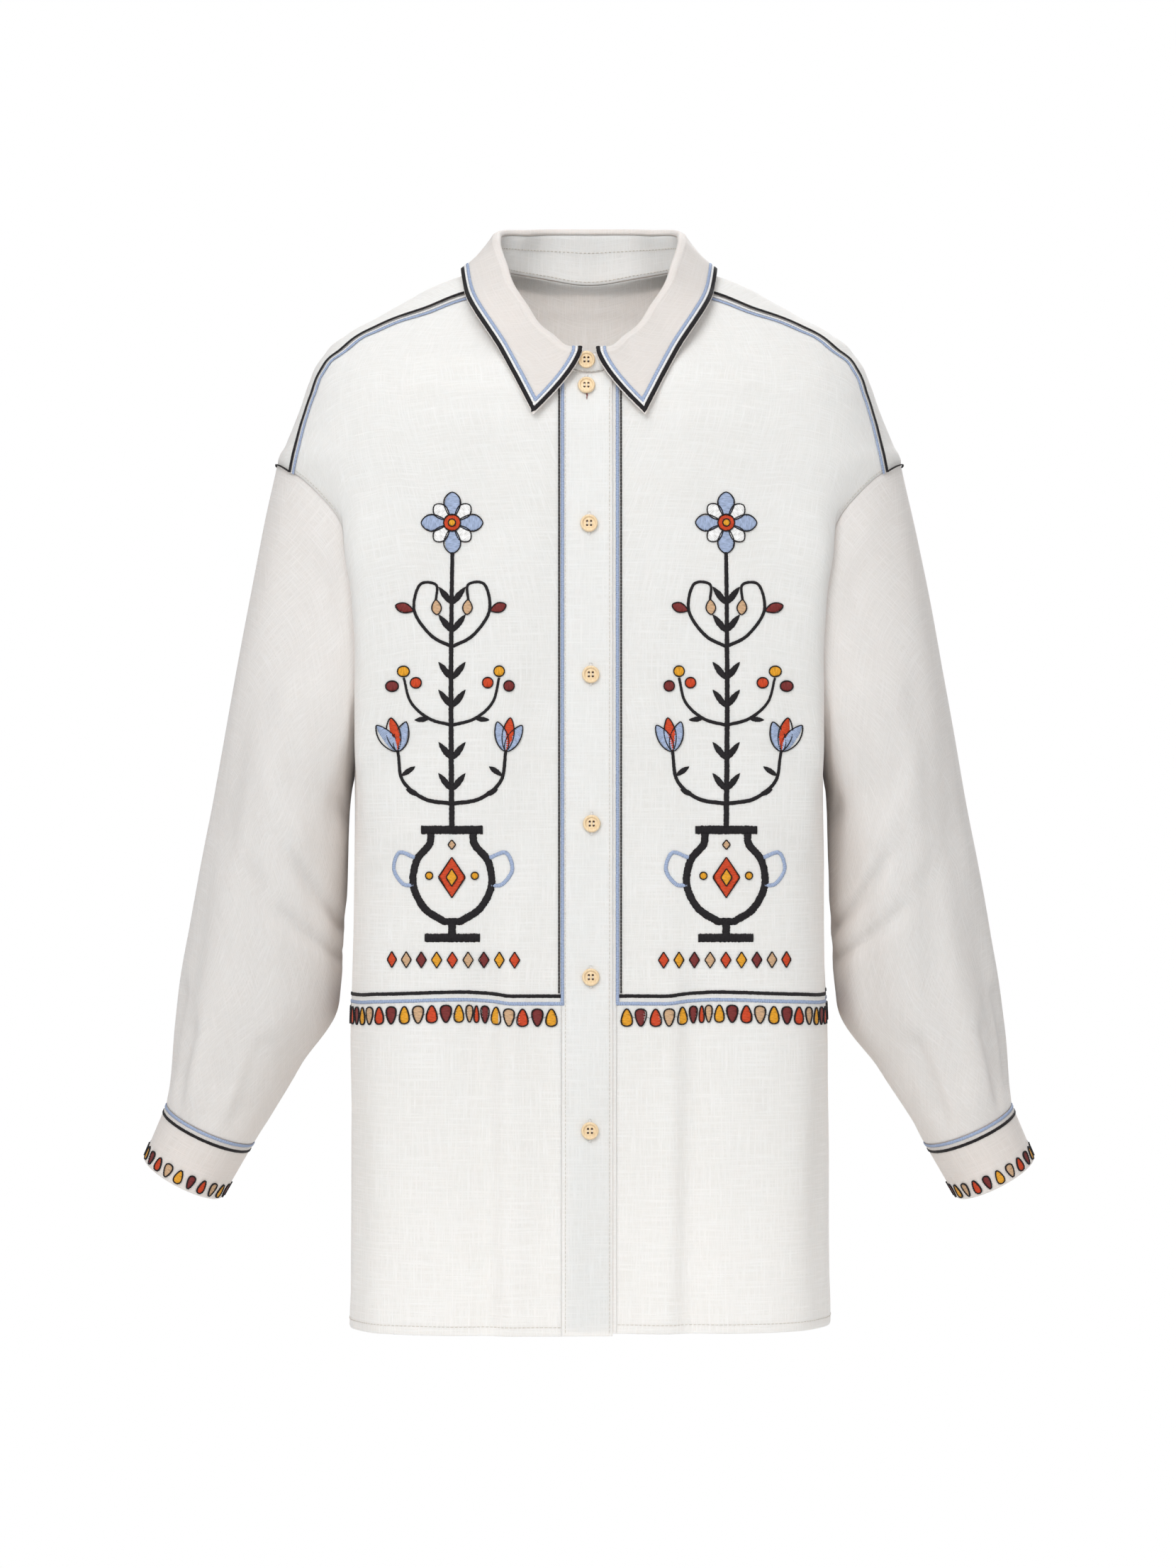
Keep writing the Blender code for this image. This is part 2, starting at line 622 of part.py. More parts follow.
def cloth(name, grid, thickness, finish, collection, ways_in=None, wraps=False):
    """One piece of cloth: a wall between the grid and the same grid moved in."""
    if ways_in is None:
        ways_in = grid_ways_in(grid, wraps)
    outer = parted(grid, wraps)
    inner = outer + ways_in * thickness
    rows, count = grid.shape[:2]
    index = np.arange(rows * count).reshape(rows, count)
    if wraps:
        index = np.concatenate([index, index[:, :1]], axis=1)
    deeper = index + rows * count

    def strips(a, b):
        return np.stack([a[:-1], a[1:], b[1:], b[:-1]], axis=-1)

    faces = [strips(index[:, k], index[:, k + 1]) for k in range(index.shape[1] - 1)]
    faces += [strips(deeper[:, k + 1], deeper[:, k]) for k in range(index.shape[1] - 1)]
    faces += [strips(deeper[0], index[0]), strips(index[-1], deeper[-1])]
    if not wraps:
        faces += [strips(index[:, 0], deeper[:, 0]), strips(deeper[:, -1], index[:, -1])]
    mesh = bpy.data.meshes.new(name)
    points = np.concatenate([outer.reshape(-1, 3), inner.reshape(-1, 3)])
    mesh.from_pydata(points.tolist(), [], np.concatenate(faces).tolist())
    shape = bmesh.new()
    shape.from_mesh(mesh)
    bmesh.ops.recalc_face_normals(shape, faces=shape.faces)
    shape.to_mesh(mesh)
    shape.free()
    mesh.shade_smooth()
    mesh.materials.append(material(*finish))
    piece = bpy.data.objects.new(name, mesh)
    collection.objects.link(piece)
    return piece


def button(name, place, outwards, collection):
    """A round button with a raised rim, its back on the band and its face outwards."""
    r, h, dish = BUTTON_RADIUS, BUTTON_HEIGHT, BUTTON_DISH
    profile = [(0, h - dish), (0.55 * r, h - dish), (0.72 * r, h), (0.90 * r, h), (r, 0.6 * h)]
    profile += [(0.92 * r, 0.0), (0, 0)]
    mesh = bpy.data.meshes.new(name)
    edges = [(i, i + 1) for i in range(len(profile) - 1)]
    mesh.from_pydata([(x, 0, z) for x, z in profile], edges, [])
    mesh.materials.append(material(*BUTTON_CREAM))
    piece = bpy.data.objects.new(name, mesh)
    turned = piece.modifiers.new("turned", "SCREW")
    turned.steps = 14
    turned.render_steps = 14
    turned.use_merge_vertices = True
    turned.merge_threshold = 0.00005
    piece.location = place
    piece.rotation_euler = Vector(outwards).to_track_quat("Z", "Y").to_euler()
    collection.objects.link(piece)
    return piece


def front_place(x, below):
    """A point on the right band between two of its rows, and its way out."""
    angle = 180 + math.degrees(math.asin(x / NECK_HALF_WIDTH))
    z = placket_heights(HEM_RIGHT, angle)
    line = body(front_turn(np.full(len(z), x), z), z)
    row = np.searchsorted(z, -below) - 1
    share = (-below - z[row]) / (z[row + 1] - z[row])
    slope = unit(line[row + 1] - line[row])
    place = line[row] + share * (line[row + 1] - line[row])
    return place, unit(np.cross(slope, (-1.0, 0.0, 0.0)))


def stand_place(x, below):
    """A point on the stand's outer face at the front, and its way out."""
    angle = -(180 - math.degrees(math.asin(-x / NECK_HALF_WIDTH)))
    foot, top, _, out = stand_frame(np.array([angle - 1, angle, angle + 1]))
    share = (-below - foot[1][2]) / (top[1][2] - foot[1][2])
    bulge = math.sin(math.pi * share) * STAND_BULGE
    return foot[1] + share * (top[1] - foot[1]) + out[1] * bulge, out[1]


def main():
    for left_over in list(bpy.data.objects):
        bpy.data.objects.remove(left_over)
    blouse = bpy.data.collections.new("embroidered_blouse")
    bpy.context.scene.collection.children.link(blouse)

    mirrored = np.array([-1.0, 1.0, 1.0])
    front, under_front = front_grid(HEM_RIGHT) * mirrored, front_grid(HEM_LEFT)
    band, under_band = band_grid(-1, HEM_RIGHT), band_grid(1, HEM_LEFT)
    for name, on_surface, grid, thickness, finish in (
        ("front_right", front, front, PANEL_WALL, LINEN),
        ("front_left", under_front, lapped(under_front), PANEL_WALL, LINEN),
        ("buttonhole_band", band, band, DOUBLE_WALL, LINEN_BAND),
        ("button_band", under_band, lapped(under_band), DOUBLE_WALL, LINEN_BAND),
        ("back", back_grid(), back_grid(), PANEL_WALL, LINEN),
        ("yoke", yoke_grid(), yoke_grid(), PANEL_WALL, LINEN),
    ):
        cloth(name, grid, thickness, finish, blouse, body_ways_in(on_surface))
    stand, stand_ways_in = stand_grid()
    cloth("collar_stand", stand, DOUBLE_WALL, LINEN_BAND, blouse, stand_ways_in)
    cloth("collar_fall", fall_grid(), COLLAR_WALL, LINEN_BAND, blouse)
    for side, flip in (("left", mirrored**2), ("right", mirrored)):
        cloth(f"sleeve_{side}", sleeve_grid() * flip, PANEL_WALL, LINEN, blouse, wraps=True)
        cloth(f"cuff_{side}", cuff_grid() * flip, COLLAR_WALL, LINEN_BAND, blouse, wraps=True)
    for name, across, below in BUTTONS:
        placed = stand_place if name == "button_stand" else front_place
        place, outwards = placed(across, below)
        button(name, place + outwards * SEAM_GAP, outwards, blouse)


main()
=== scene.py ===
# %% [markdown]
# # An embroidered linen blouse
#
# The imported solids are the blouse's true shape: stiff walls with plain edges. This lesson dresses
# them. Each cloth solid gets a finer shell on the same surface, and then come the stitches, the
# satin borders, the flowers and the buttons.
#
# Everything is in metres. The wearer faces -Y, so the wearer's right side is at -X.

# %% Load the solids
import math

import bpy
import numpy as np
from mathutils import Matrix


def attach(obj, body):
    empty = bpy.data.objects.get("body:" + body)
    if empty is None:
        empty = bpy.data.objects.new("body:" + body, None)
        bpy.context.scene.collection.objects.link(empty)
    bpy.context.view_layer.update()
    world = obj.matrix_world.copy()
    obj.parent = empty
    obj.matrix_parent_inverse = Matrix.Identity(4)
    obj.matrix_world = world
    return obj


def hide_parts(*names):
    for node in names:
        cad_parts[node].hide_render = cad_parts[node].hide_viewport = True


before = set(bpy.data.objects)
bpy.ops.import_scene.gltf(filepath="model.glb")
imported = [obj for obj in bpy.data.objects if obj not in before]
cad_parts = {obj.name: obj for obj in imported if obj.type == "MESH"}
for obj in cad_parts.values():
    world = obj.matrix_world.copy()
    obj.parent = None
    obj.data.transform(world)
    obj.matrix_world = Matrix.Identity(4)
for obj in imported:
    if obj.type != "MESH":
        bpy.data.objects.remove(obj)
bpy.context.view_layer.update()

# %% [markdown]
# ## The surface of the body
#
# A blouse that hangs on a wearer is close to a stack of rings, each a rounded rectangle. The body
# could be sculpted, but a formula has one great advantage: panels, seams and embroidery can all
# ask the same function where the cloth is, so nothing floats or sinks. The rings have the sizes
# that the solids have, and each has a name, so that the table reads like a pattern card.

# %% Sizes of the body
BODY_RINGS = (
    # name, below, half width, front depth, back depth, squareness
    ("over the neck", -0.006, 0.056, 0.004, 0.045, 2.4),
    ("side neck", -0.001, 0.07, 0.008, 0.057, 2.4),
    ("back neck", 0.005, 0.09, 0.0135, 0.065, 2.4),
    ("neck end of the shoulder", 0.01, 0.104, 0.019, 0.07, 2.4),
    ("inner shoulder", 0.0225, 0.128, 0.031, 0.081, 2.4),
    ("middle shoulder", 0.035, 0.15, 0.045, 0.09, 2.4),
    ("outer shoulder", 0.0475, 0.172, 0.0565, 0.096, 2.4),
    ("shoulder point", 0.06, 0.186, 0.0695, 0.101, 2.4),
    ("front neck", 0.08, 0.197, 0.088, 0.106, 2.45),
    ("over the arm", 0.0975, 0.203, 0.095, 0.109, 2.5),
    ("dropped shoulder", 0.125, 0.214, 0.1, 0.112, 2.55),
    ("sleeve head", 0.139, 0.2195, 0.101, 0.113, 2.6),
    ("under the sleeve head", 0.15, 0.2175, 0.102, 0.1135, 2.65),
    ("armhole top", 0.18, 0.199, 0.104, 0.114, 2.95),
    ("armhole upper part", 0.205, 0.184, 0.105, 0.1145, 3.5),
    ("armhole middle", 0.245, 0.168, 0.106, 0.115, 4.4),
    ("above the armpit", 0.3, 0.164, 0.1065, 0.115, 4.6),
    ("armpit", 0.35, 0.1635, 0.107, 0.1145, 4.6),
    ("under the armpit", 0.42, 0.1645, 0.107, 0.113, 4.6),
    ("waist", 0.5, 0.1665, 0.107, 0.112, 4.5),
    ("hip", 0.56, 0.168, 0.1075, 0.1115, 4.4),
    ("hem", 0.745, 0.168, 0.108, 0.11, 4.2),
)
BODY_FOLDS = (
    # name, turn, half width in degrees, height, starts below, full below
    ("left front hollow", 56, 5.0, -0.003, 0.36, 0.52),
    ("left front ridge", 63, 5.0, 0.0016, 0.36, 0.54),
    ("left side hollow", 24, 5.5, -0.0026, 0.4, 0.6),
    ("right front hollow", 124, 5.0, -0.003, 0.36, 0.52),
    ("right front ridge", 117, 5.0, 0.0016, 0.36, 0.54),
    ("right side hollow", 155, 5.5, -0.0024, 0.42, 0.62),
    ("back left ridge", -42, 6.0, 0.004, 0.22, 0.52),
    ("back left hollow", -56, 5.5, -0.0044, 0.2, 0.48),
    ("back middle ridge", -84, 7.0, 0.0034, 0.18, 0.56),
    ("back right hollow", -117, 6.0, -0.0042, 0.2, 0.5),
    ("back right ridge", -133, 6.0, 0.0042, 0.24, 0.54),
)
PLACKET_SEAM, PLACKET_EDGE = 0.0189, 0.016
LAP, LAP_STARTS = 0.0022, 0.045
HEM_RIGHT, HEM_LEFT, HEM_BACK = 0.741, 0.7395, 0.7405
PANEL_WALL, DOUBLE_WALL, COLLAR_WALL = 0.0012, 0.0016, 0.0018
NUDGE = 0.0001
print("rings:", len(BODY_RINGS), "folds:", len(BODY_FOLDS))

# %% [markdown]
# Straight lines between the rings would show as bends in the cloth. A spline through them can
# swing past its points instead. The curve used here takes the harmonic mean of the two slopes
# beside each ring, which is smooth and never overshoots.


# %% Smooth curves through a table
def columns(table):
    """The number columns of a table, without its names."""
    return [np.array(column, float) for column in list(zip(*table))[1:]]


def eased(x, xs, ys):
    """Blend of the lines that leave both ends of x's interval with slope 2ab / (a + b)."""
    step = np.diff(xs)
    slope = np.diff(ys) / step
    before, after = slope[:-1], slope[1:]
    same_way = before * after > 0
    total = np.where(same_way, before + after, 1.0)
    middle = np.where(same_way, 2 * before * after / total, 0.0)
    tangent = np.concatenate([[slope[0]], middle, [slope[-1]]])
    i = np.clip(np.searchsorted(xs, x) - 1, 0, len(xs) - 2)
    t = np.clip((x - xs[i]) / step[i], 0, 1)
    from_left = ys[i] + tangent[i] * step[i] * t
    from_right = ys[i + 1] - tangent[i + 1] * step[i] * (1 - t)
    blend = t * t * (3 - 2 * t)
    return from_left * (1 - blend) + from_right * blend


def ramp(x, start, end):
    """3t^2 - 2t^3, with t going from 0 at start to 1 at end."""
    t = np.clip((x - start) / (end - start), 0, 1)
    return t * t * (3 - 2 * t)


def unit(vectors):
    """Each vector divided by its length."""
    return vectors / np.linalg.norm(vectors, axis=-1, keepdims=True)


def facing(ways, target):
    """Each way, turned round where it points away from the target."""
    return ways * np.sign(np.sum(ways * target, axis=-1, keepdims=True))


def full_turn(count):
    """That many even steps of a whole turn, from 0."""
    return np.linspace(0, 2 * math.pi, count + 1)[:-1]


def closed_round(grid):
    """The grid with its first column again behind its last."""
    return np.concatenate([grid, grid[:, :1]], axis=1)


def along_axis(points, axis):
    """The length walked along an axis of a line or grid, up to each point."""
    steps = np.linalg.norm(np.diff(points, axis=axis), axis=-1)
    start = np.zeros_like(np.take(steps, [0], axis=axis))
    return np.concatenate([start, np.cumsum(steps, axis=axis)], axis=axis)


def read_line(line, walked, at):
    """The places on a line at given lengths along it, straight between its own points."""
    return np.stack([np.interp(at, walked, axis) for axis in line.T], axis=-1)


def joined(first, second):
    """Two rows of numbers as one row of pairs; a single number holds all the way."""
    return np.stack(np.broadcast_arrays(first, second), axis=-1)


def evenly(points, count):
    """The line of points again as count + 1 points, equally far apart along it."""
    along = along_axis(points, 0)
    return read_line(points, along, np.linspace(0, along[-1], count + 1))


print("half way up a step of two:", float(eased(0.5, np.array([0.0, 1]), np.array([0.0, 2]))))

# %% [markdown]
# Linen never hangs quite flat. Long weak waves could come from a noise texture, but then the
# embroidery wouldn't know about them. Here they are a few sine waves round and down the body,
# and each main crease is a short valley or ridge between two named places.

# %% Soft waves and creases of the body
BODY_WAVES = (
    # name, times round, down length, phase, height
    ("broad lean", 3, 0.95, 0.4, 0.00055),
    ("drape", 7, 0.62, 2.1, 0.0005),
    ("small drape", 13, 0.38, 4.0, 0.00032),
    ("ripple", 23, 0.21, 1.2, 0.00016),
    ("cross ripple", -17, 0.13, 0.7, 0.00014),
)
BODY_CREASES = (
    # name, turn at start, below at start, turn at end, below at end, half width, height
    ("left chest drag", 34, 0.235, 57, 0.175, 0.012, -0.0011),
    ("left under the arm", 26, 0.372, 46, 0.33, 0.01, -0.0016),
    ("left rib", 22, 0.415, 40, 0.385, 0.008, 0.001),
    ("right chest drag", 147, 0.245, 121, 0.18, 0.012, -0.001),
    ("right under the arm", 153, 0.365, 133, 0.322, 0.01, -0.0015),
    ("right rib", 159, 0.424, 141, 0.395, 0.008, 0.0009),
    ("left side fall", 6, 0.44, 12, 0.7, 0.016, -0.0018),
    ("right side fall", 173, 0.46, 167, 0.7, 0.017, -0.0017),
    ("back left drag", -30, 0.36, -58, 0.26, 0.012, -0.0022),
    ("back left lower drag", -22, 0.41, -50, 0.37, 0.011, -0.0018),
    ("back right drag", -149, 0.35, -120, 0.25, 0.013, -0.0022),
    ("back right lower drag", -158, 0.43, -130, 0.38, 0.01, -0.0017),
    ("back middle fall", -96, 0.2, -99, 0.6, 0.015, -0.002),
    ("front right fall", 124, 0.5, 123, 0.73, 0.013, -0.0024),
    ("beside the right fall", 118, 0.5, 116.5, 0.73, 0.014, 0.0014),
    ("front left fall", 56, 0.51, 57, 0.73, 0.013, -0.0022),
    ("beside the left fall", 62, 0.51, 63.5, 0.73, 0.014, 0.0013),
    ("front right drift", 108, 0.3, 104, 0.72, 0.015, -0.0009),
    ("front left drift", 74, 0.34, 78, 0.72, 0.015, -0.0009),
)
CREASE_REACH, WAVES_GROW = 0.17, (0.03, 0.16)


def turned_from(turn, degrees):
    """The angle from a place given in degrees, the short way round."""
    return np.angle(np.exp(1j * (turn - math.radians(degrees))))


def crease(a, b, run_a, run_b, width, height):
    """height exp(-(d / width)^2), d being how far (a, b) lies from the line (0, 0) to the run."""
    share = np.clip((a * run_a + b * run_b) / (run_a**2 + run_b**2), 0, 1)
    away = np.hypot(a - share * run_a, b - share * run_b)
    return height * np.exp(-((away / width) ** 2))


def softness(turn, z):
    """Sum of h sin(k turn + phase + 2 pi z / length), plus the creases."""
    out = np.zeros(np.broadcast(turn, z).shape)
    settled = ramp(-z, *WAVES_GROW)
    for times, down, phase, height in zip(*columns(BODY_WAVES)):
        out = out + height * settled * np.sin(times * turn + phase + 2 * math.pi * z / down)
    for start_turn, start, end_turn, end, width, height in zip(*columns(BODY_CREASES)):
        run = math.radians(end_turn - start_turn) * CREASE_REACH
        a = turned_from(turn, start_turn) * CREASE_REACH
        out = out + crease(a, z + start, run, start - end, width, height)
    return out


print("greatest softness in mm:", round(1000 * float(np.abs(softness(
    np.linspace(-3, 3, 90)[:, None], np.linspace(-0.7, -0.2, 60)[None])).max()), 2))

# %% [markdown]
# The body itself is then a radius for each turn and height. The direction out of the cloth is
# the cross product of two tiny steps on it, so a stitch can be laid any distance above it.


# %% The body as a function
def ring(z):
    """Half width, front depth, back depth and squareness at a height."""
    below, *sizes = columns(BODY_RINGS)
    return [eased(-z, below, size) for size in sizes]


def folds(table, turn, along):
    """Each fold: height exp(-(degrees from its place / half width)^2), let in on the way down."""
    for _, place, half_width, height, start, full in table:
        away = np.degrees(turned_from(turn, place))
        yield height * np.exp(-((away / half_width) ** 2)) * ramp(along, start, full)


def body_radius(turn, z):
    """(|cos / width|^n + |sin / depth|^n)^(-1/n), with the upright folds added."""
    width, front, back, square = ring(z)
    depth = np.where(np.sin(turn) > 0, front, back)
    along_x = (np.abs(np.cos(turn)) / width) ** square
    along_y = (np.abs(np.sin(turn)) / depth) ** square
    return sum(folds(BODY_FOLDS, turn, -z), (along_x + along_y) ** (-1 / square))


def body(turn, z):
    """Points (r cos, -r sin, z) of the outer face, without the soft waves."""
    turn, z = np.broadcast_arrays(turn, z)
    reach = body_radius(turn, z)
    return np.stack([reach * np.cos(turn), -reach * np.sin(turn), z], axis=-1)


def body_ways_out(turn, z):
    """The cross product of a small step round and a small step up, pointing outwards."""
    across = body(turn + NUDGE, z) - body(turn - NUDGE, z)
    ways = unit(np.cross(across, body(turn, z + NUDGE) - body(turn, z - NUDGE)))
    return facing(ways, body(turn, z) * (1, 1, 0))


def on_body(points):
    """The turn and height of points on the body."""
    return np.stack([np.arctan2(-points[..., 1], points[..., 0]), points[..., 2]], axis=-1)


def lap_at(x):
    """How far the wearer's left side lies in, near the front opening."""
    return LAP * (1 - ramp(x, PLACKET_SEAM, LAP_STARTS))


print("hem half width in mm:", round(1000 * float(body(0.0, -0.74)[0]), 1))

# %% [markdown]
# Beside each armhole the front folds softly over the seam, because the arm hangs and the cloth
# has nowhere else to go. The fold is a small push outwards and forwards, which fades up and down
# and is nothing at the seam itself, so the sleeve still meets it.

# %% The soft cloth
ARM_FOLD_TURN, ARM_FOLD_HALF = 29.5, 6.5
ARM_FOLD_PUSH = (0.0085, -0.004, 0.0)
ARM_FOLD_GROWS, ARM_FOLD_FADES, ARM_FOLD_CLEARS = (0.15, 0.2), (0.33, 0.43), (0.0, 0.009)


def arm_fold(turn, z, from_seam):
    """The push of the fold: a bell in the turn times a rise and fall in the height."""
    right = np.cos(turn) < 0
    side_turn = np.degrees(np.where(right, math.pi - turn, turn))
    bell = np.exp(-(((side_turn - ARM_FOLD_TURN) / ARM_FOLD_HALF) ** 2))
    high_low = ramp(-z, *ARM_FOLD_GROWS) * (1 - ramp(-z, *ARM_FOLD_FADES))
    push = bell * high_low * ramp(from_seam, *ARM_FOLD_CLEARS)
    push = np.array(ARM_FOLD_PUSH) * push[..., None]
    push[..., 0] *= np.where(right, -1, 1)
    return push


def cloth_at(turn, z, height=0.0, under=False, from_seam=1.0):
    """A point of the soft cloth, raised by height; under sets it back where the fronts lap."""
    turn, z = np.broadcast_arrays(turn, z)
    points, ways = body(turn, z), body_ways_out(turn, z)
    points = points + ways * (softness(turn, z) + height)[..., None]
    points = points + arm_fold(turn, z, from_seam)
    set_back = lap_at(points[..., 0]) * np.asarray(under)
    return points + np.array([0.0, 1.0, 0.0]) * set_back[..., None], ways


print("the fold pushes out by mm:", 1000 * ARM_FOLD_PUSH[0])

# %% [markdown]
# ## The seam lines
#
# A pattern cutter draws the neck, the armholes and the yoke seams first, and so do we. Each is a
# curve on the body, so two panels that share one meet exactly.

# %% Sizes of the seams
NECK_HALF_WIDTH, NECK_FRONT, NECK_BACK = 0.07, 0.088, 0.065
YOKE_MEETS_NECK = 103
ARMHOLE_MIDDLE, ARMHOLE_HALF_HEIGHT, ARMHOLE_HALF_DEPTH = 0.2445, 0.1055, 0.076
ARMHOLE_SQUARE_TOP, ARMHOLE_SQUARE_BOTTOM = 3.6, 2.4
YOKE_FRONT_TURN, YOKE_BACK_TURN = 27.0, -30.0
YOKE_BACK_MIDDLE = 0.118
YOKE_FRONT_SEAM = (
    # name, across, below
    ("beside the collar", 0.0873, 0.0194),
    ("inner", 0.1131, 0.0302),
    ("middle", 0.1479, 0.0435),
    ("outer", 0.1737, 0.0607),
    ("bend", 0.186, 0.0732),
    ("over the arm", 0.1929, 0.0912),
    ("down the arm", 0.1973, 0.1057),
    ("last", 0.2012, 0.1217),
)
NECK_STEPS, SEAM_STEPS, BACK_NECK_STEPS = 14, 44, 44
SIDE_STEPS, ARMHOLE_STEPS, YOKE_STEPS, SLEEVE_STEPS = 84, 52, 26, 104
BAND_COLUMNS = 8
TOP_ROWS_CROWD = 1.35
WIDEST = 0.139
DENSE = 1600
BAND_STARTS = 180 - math.degrees(math.asin(PLACKET_SEAM / NECK_HALF_WIDTH))
BAND_ENDS = 180 + math.degrees(math.asin(PLACKET_EDGE / NECK_HALF_WIDTH))
print("a front band runs from", round(BAND_STARTS, 1), "to", round(BAND_ENDS, 1), "degrees")

# %% [markdown]
# A seam is drawn in the view that shows it best, plan or side, and then laid on the body by
# asking which ring of the stack passes there.


# %% Seams as curves
def ring_beside(x, width, depth, square):
    """How deep a ring is beside x: depth (1 - |x / width|^n)^(1/n)."""
    return depth * (1 - (np.abs(x) / width) ** square) ** (1 / square)


def outside_ring(x, y, z):
    """|x / width|^n + |y / depth|^n, which is over 1 outside the ring at z, and n."""
    width, front, back, square = ring(z)
    depth = np.where(y < 0, front, back)
    return (np.abs(x) / width) ** square + (np.abs(y) / depth) ** square, square


def front_turn(x, z):
    """The turn where the front lies at x, by Newton's rule."""
    width, front, _, square = ring(z)
    turn = np.arctan2(ring_beside(x, width, front, square), x)
    for _ in range(5):
        point = body(turn, z)
        turn = turn - (point[..., 0] - x) / point[..., 1]
    return turn


def height_at(x, y):
    """The height of the shoulders over a place in plan, by halving the interval."""
    high, low = np.full(np.shape(x), 0.006), np.full(np.shape(x), -WIDEST)
    for _ in range(40):
        middle = (high + low) / 2
        outside = outside_ring(x, y, middle)[0] > 1
        high, low = np.where(outside, middle, high), np.where(outside, low, middle)
    return (high + low) / 2


def neck(angle):
    """The left half of the neck: half an ellipse in plan, 0 degrees at the back."""
    turn = np.radians(angle)
    reach = np.where(np.cos(turn) > 0, NECK_BACK, NECK_FRONT)
    x, y = NECK_HALF_WIDTH * np.sin(turn), reach * np.cos(turn)
    return np.stack([x, y, height_at(x, y)], axis=-1)


def armhole(angle):
    """The left armhole: a rounded loop in side view, laid on the body, 0 degrees at its top."""
    turn = np.radians(angle)
    sine, cosine = np.sin(turn), np.cos(turn)
    power = 2 / np.where(cosine > 0, ARMHOLE_SQUARE_TOP, ARMHOLE_SQUARE_BOTTOM)
    y = -ARMHOLE_HALF_DEPTH * np.sign(sine) * np.abs(sine) ** power
    z = -ARMHOLE_MIDDLE + ARMHOLE_HALF_HEIGHT * np.sign(cosine) * np.abs(cosine) ** power
    width, front, back, square = ring(z)
    x = ring_beside(y, np.where(y < 0, front, back), width, square)
    return body(np.arctan2(-y, x), z)


def armhole_part(start, end, count):
    """Even points of the armhole between two angles."""
    return evenly(armhole(np.linspace(start, end, DENSE)), count)


whole_armhole = armhole_part(-180, 180, 300)
print("armhole length in mm:", round(1000 * float(along_axis(whole_armhole, 0)[-1])))

# %% [markdown]
# The yoke has a seam on each front and one across the back. The front one is a smooth curve
# through eight places that were read from the photograph's view, the back one a flat parabola.


# %% Seams of the yoke
def yoke_front_seam(count):
    """The yoke's front seam on the left side, from the neck to the armhole."""
    first, last = neck(np.array([YOKE_MEETS_NECK]))[0], armhole(np.array([YOKE_FRONT_TURN]))[0]
    across, below = columns(YOKE_FRONT_SEAM)
    x, z = np.r_[first[0], across, last[0]], np.r_[first[2], -below, last[2]]
    along = np.r_[0, np.cumsum(np.hypot(np.diff(x), np.diff(z)))]
    at = np.linspace(0, along[-1], DENSE)
    x, z = eased(at, along, x), eased(at, along, z)
    return evenly(body(front_turn(x, z), z), count)


def yoke_back_seam(count):
    """The yoke's back seam: a parabola in the back view, from the left armhole to the right."""
    last = armhole(np.array([YOKE_BACK_TURN]))[0]
    x = np.linspace(last[0], -last[0], DENSE)
    z = -YOKE_BACK_MIDDLE + (last[2] + YOKE_BACK_MIDDLE) * (x / last[0]) ** 2
    width, _, back, square = ring(z)
    return evenly(body(np.arctan2(-ring_beside(x, width, back, square), x), z), count)


print("back seam in mm:", round(1000 * float(along_axis(yoke_back_seam(300), 0)[-1])))

# %% [markdown]
# ## The panels as grids
#
# A panel is filled between its four edges, which is how a Coons patch works: blend the two
# sides, blend the two ends, and take away the corners that were counted twice. Above and below
# the armpit a panel has different neighbours, so it is filled in two blocks.


# %% Grids of the panels
def filled(bottom, top, left, right):
    """Sides + ends - corners, each blended linearly across the patch."""
    u = np.linspace(0, 1, len(bottom))[None, :, None]
    v = np.linspace(0, 1, len(left))[:, None, None]
    sides = (1 - u) * left[:, None] + u * right[:, None]
    ends = (1 - v) * bottom[None] + v * top[None]
    low = (1 - u) * bottom[0] + u * bottom[-1]
    high = (1 - u) * top[0] + u * top[-1]
    return sides + ends - (1 - v) * low - v * high


def level_line(start, end, count):
    """Even points round the body between two places given by turn and height."""
    line = np.linspace(start, end, DENSE)
    return on_body(evenly(body(line[:, 0], line[:, 1]), count))


def panel(top, left, right):
    """Turn and height of a panel's grid, filled below the armpits and above them."""
    count = len(top) - 1
    hem_line = level_line(left[0], right[0], count)
    armpit_line = level_line(left[SIDE_STEPS], right[SIDE_STEPS], count)
    lower = filled(hem_line, armpit_line, left[: SIDE_STEPS + 1], right[: SIDE_STEPS + 1])
    upper = filled(armpit_line, top, left[SIDE_STEPS:], right[SIDE_STEPS:])
    return np.concatenate([lower[:-1], upper])


print("rows below the armpits:", SIDE_STEPS, "above:", ARMHOLE_STEPS)

# %% [markdown]
# Now each panel only has to name its edges. The yoke is the one that is blended in plan and then
# lifted, because its middle has no seam to hold it on the shoulders. The bands are upright lines.


# %% The six grids of the body
def placket_heights(hem, angle):
    """Heights of the front's rows, from the hem to an angle of the neck seam."""
    top = neck(np.array([angle]))[0][2]
    armpit_level = np.interp(SIDE_STEPS, [0, SIDE_STEPS + ARMHOLE_STEPS], [-hem, top])
    lower = np.linspace(-hem, armpit_level, SIDE_STEPS + 1)
    share = 1 - (1 - np.linspace(0, 1, ARMHOLE_STEPS + 1)) ** TOP_ROWS_CROWD
    return np.r_[lower, armpit_level + share[1:] * (top - armpit_level)]


def side_line(hem, armhole_points):
    """The side seam from the hem to the armpit, and then the armhole."""
    z = np.linspace(-hem, armhole_points[0][2], SIDE_STEPS + 1)
    return np.concatenate([body(np.zeros(SIDE_STEPS + 1), z)[:-1], armhole_points])


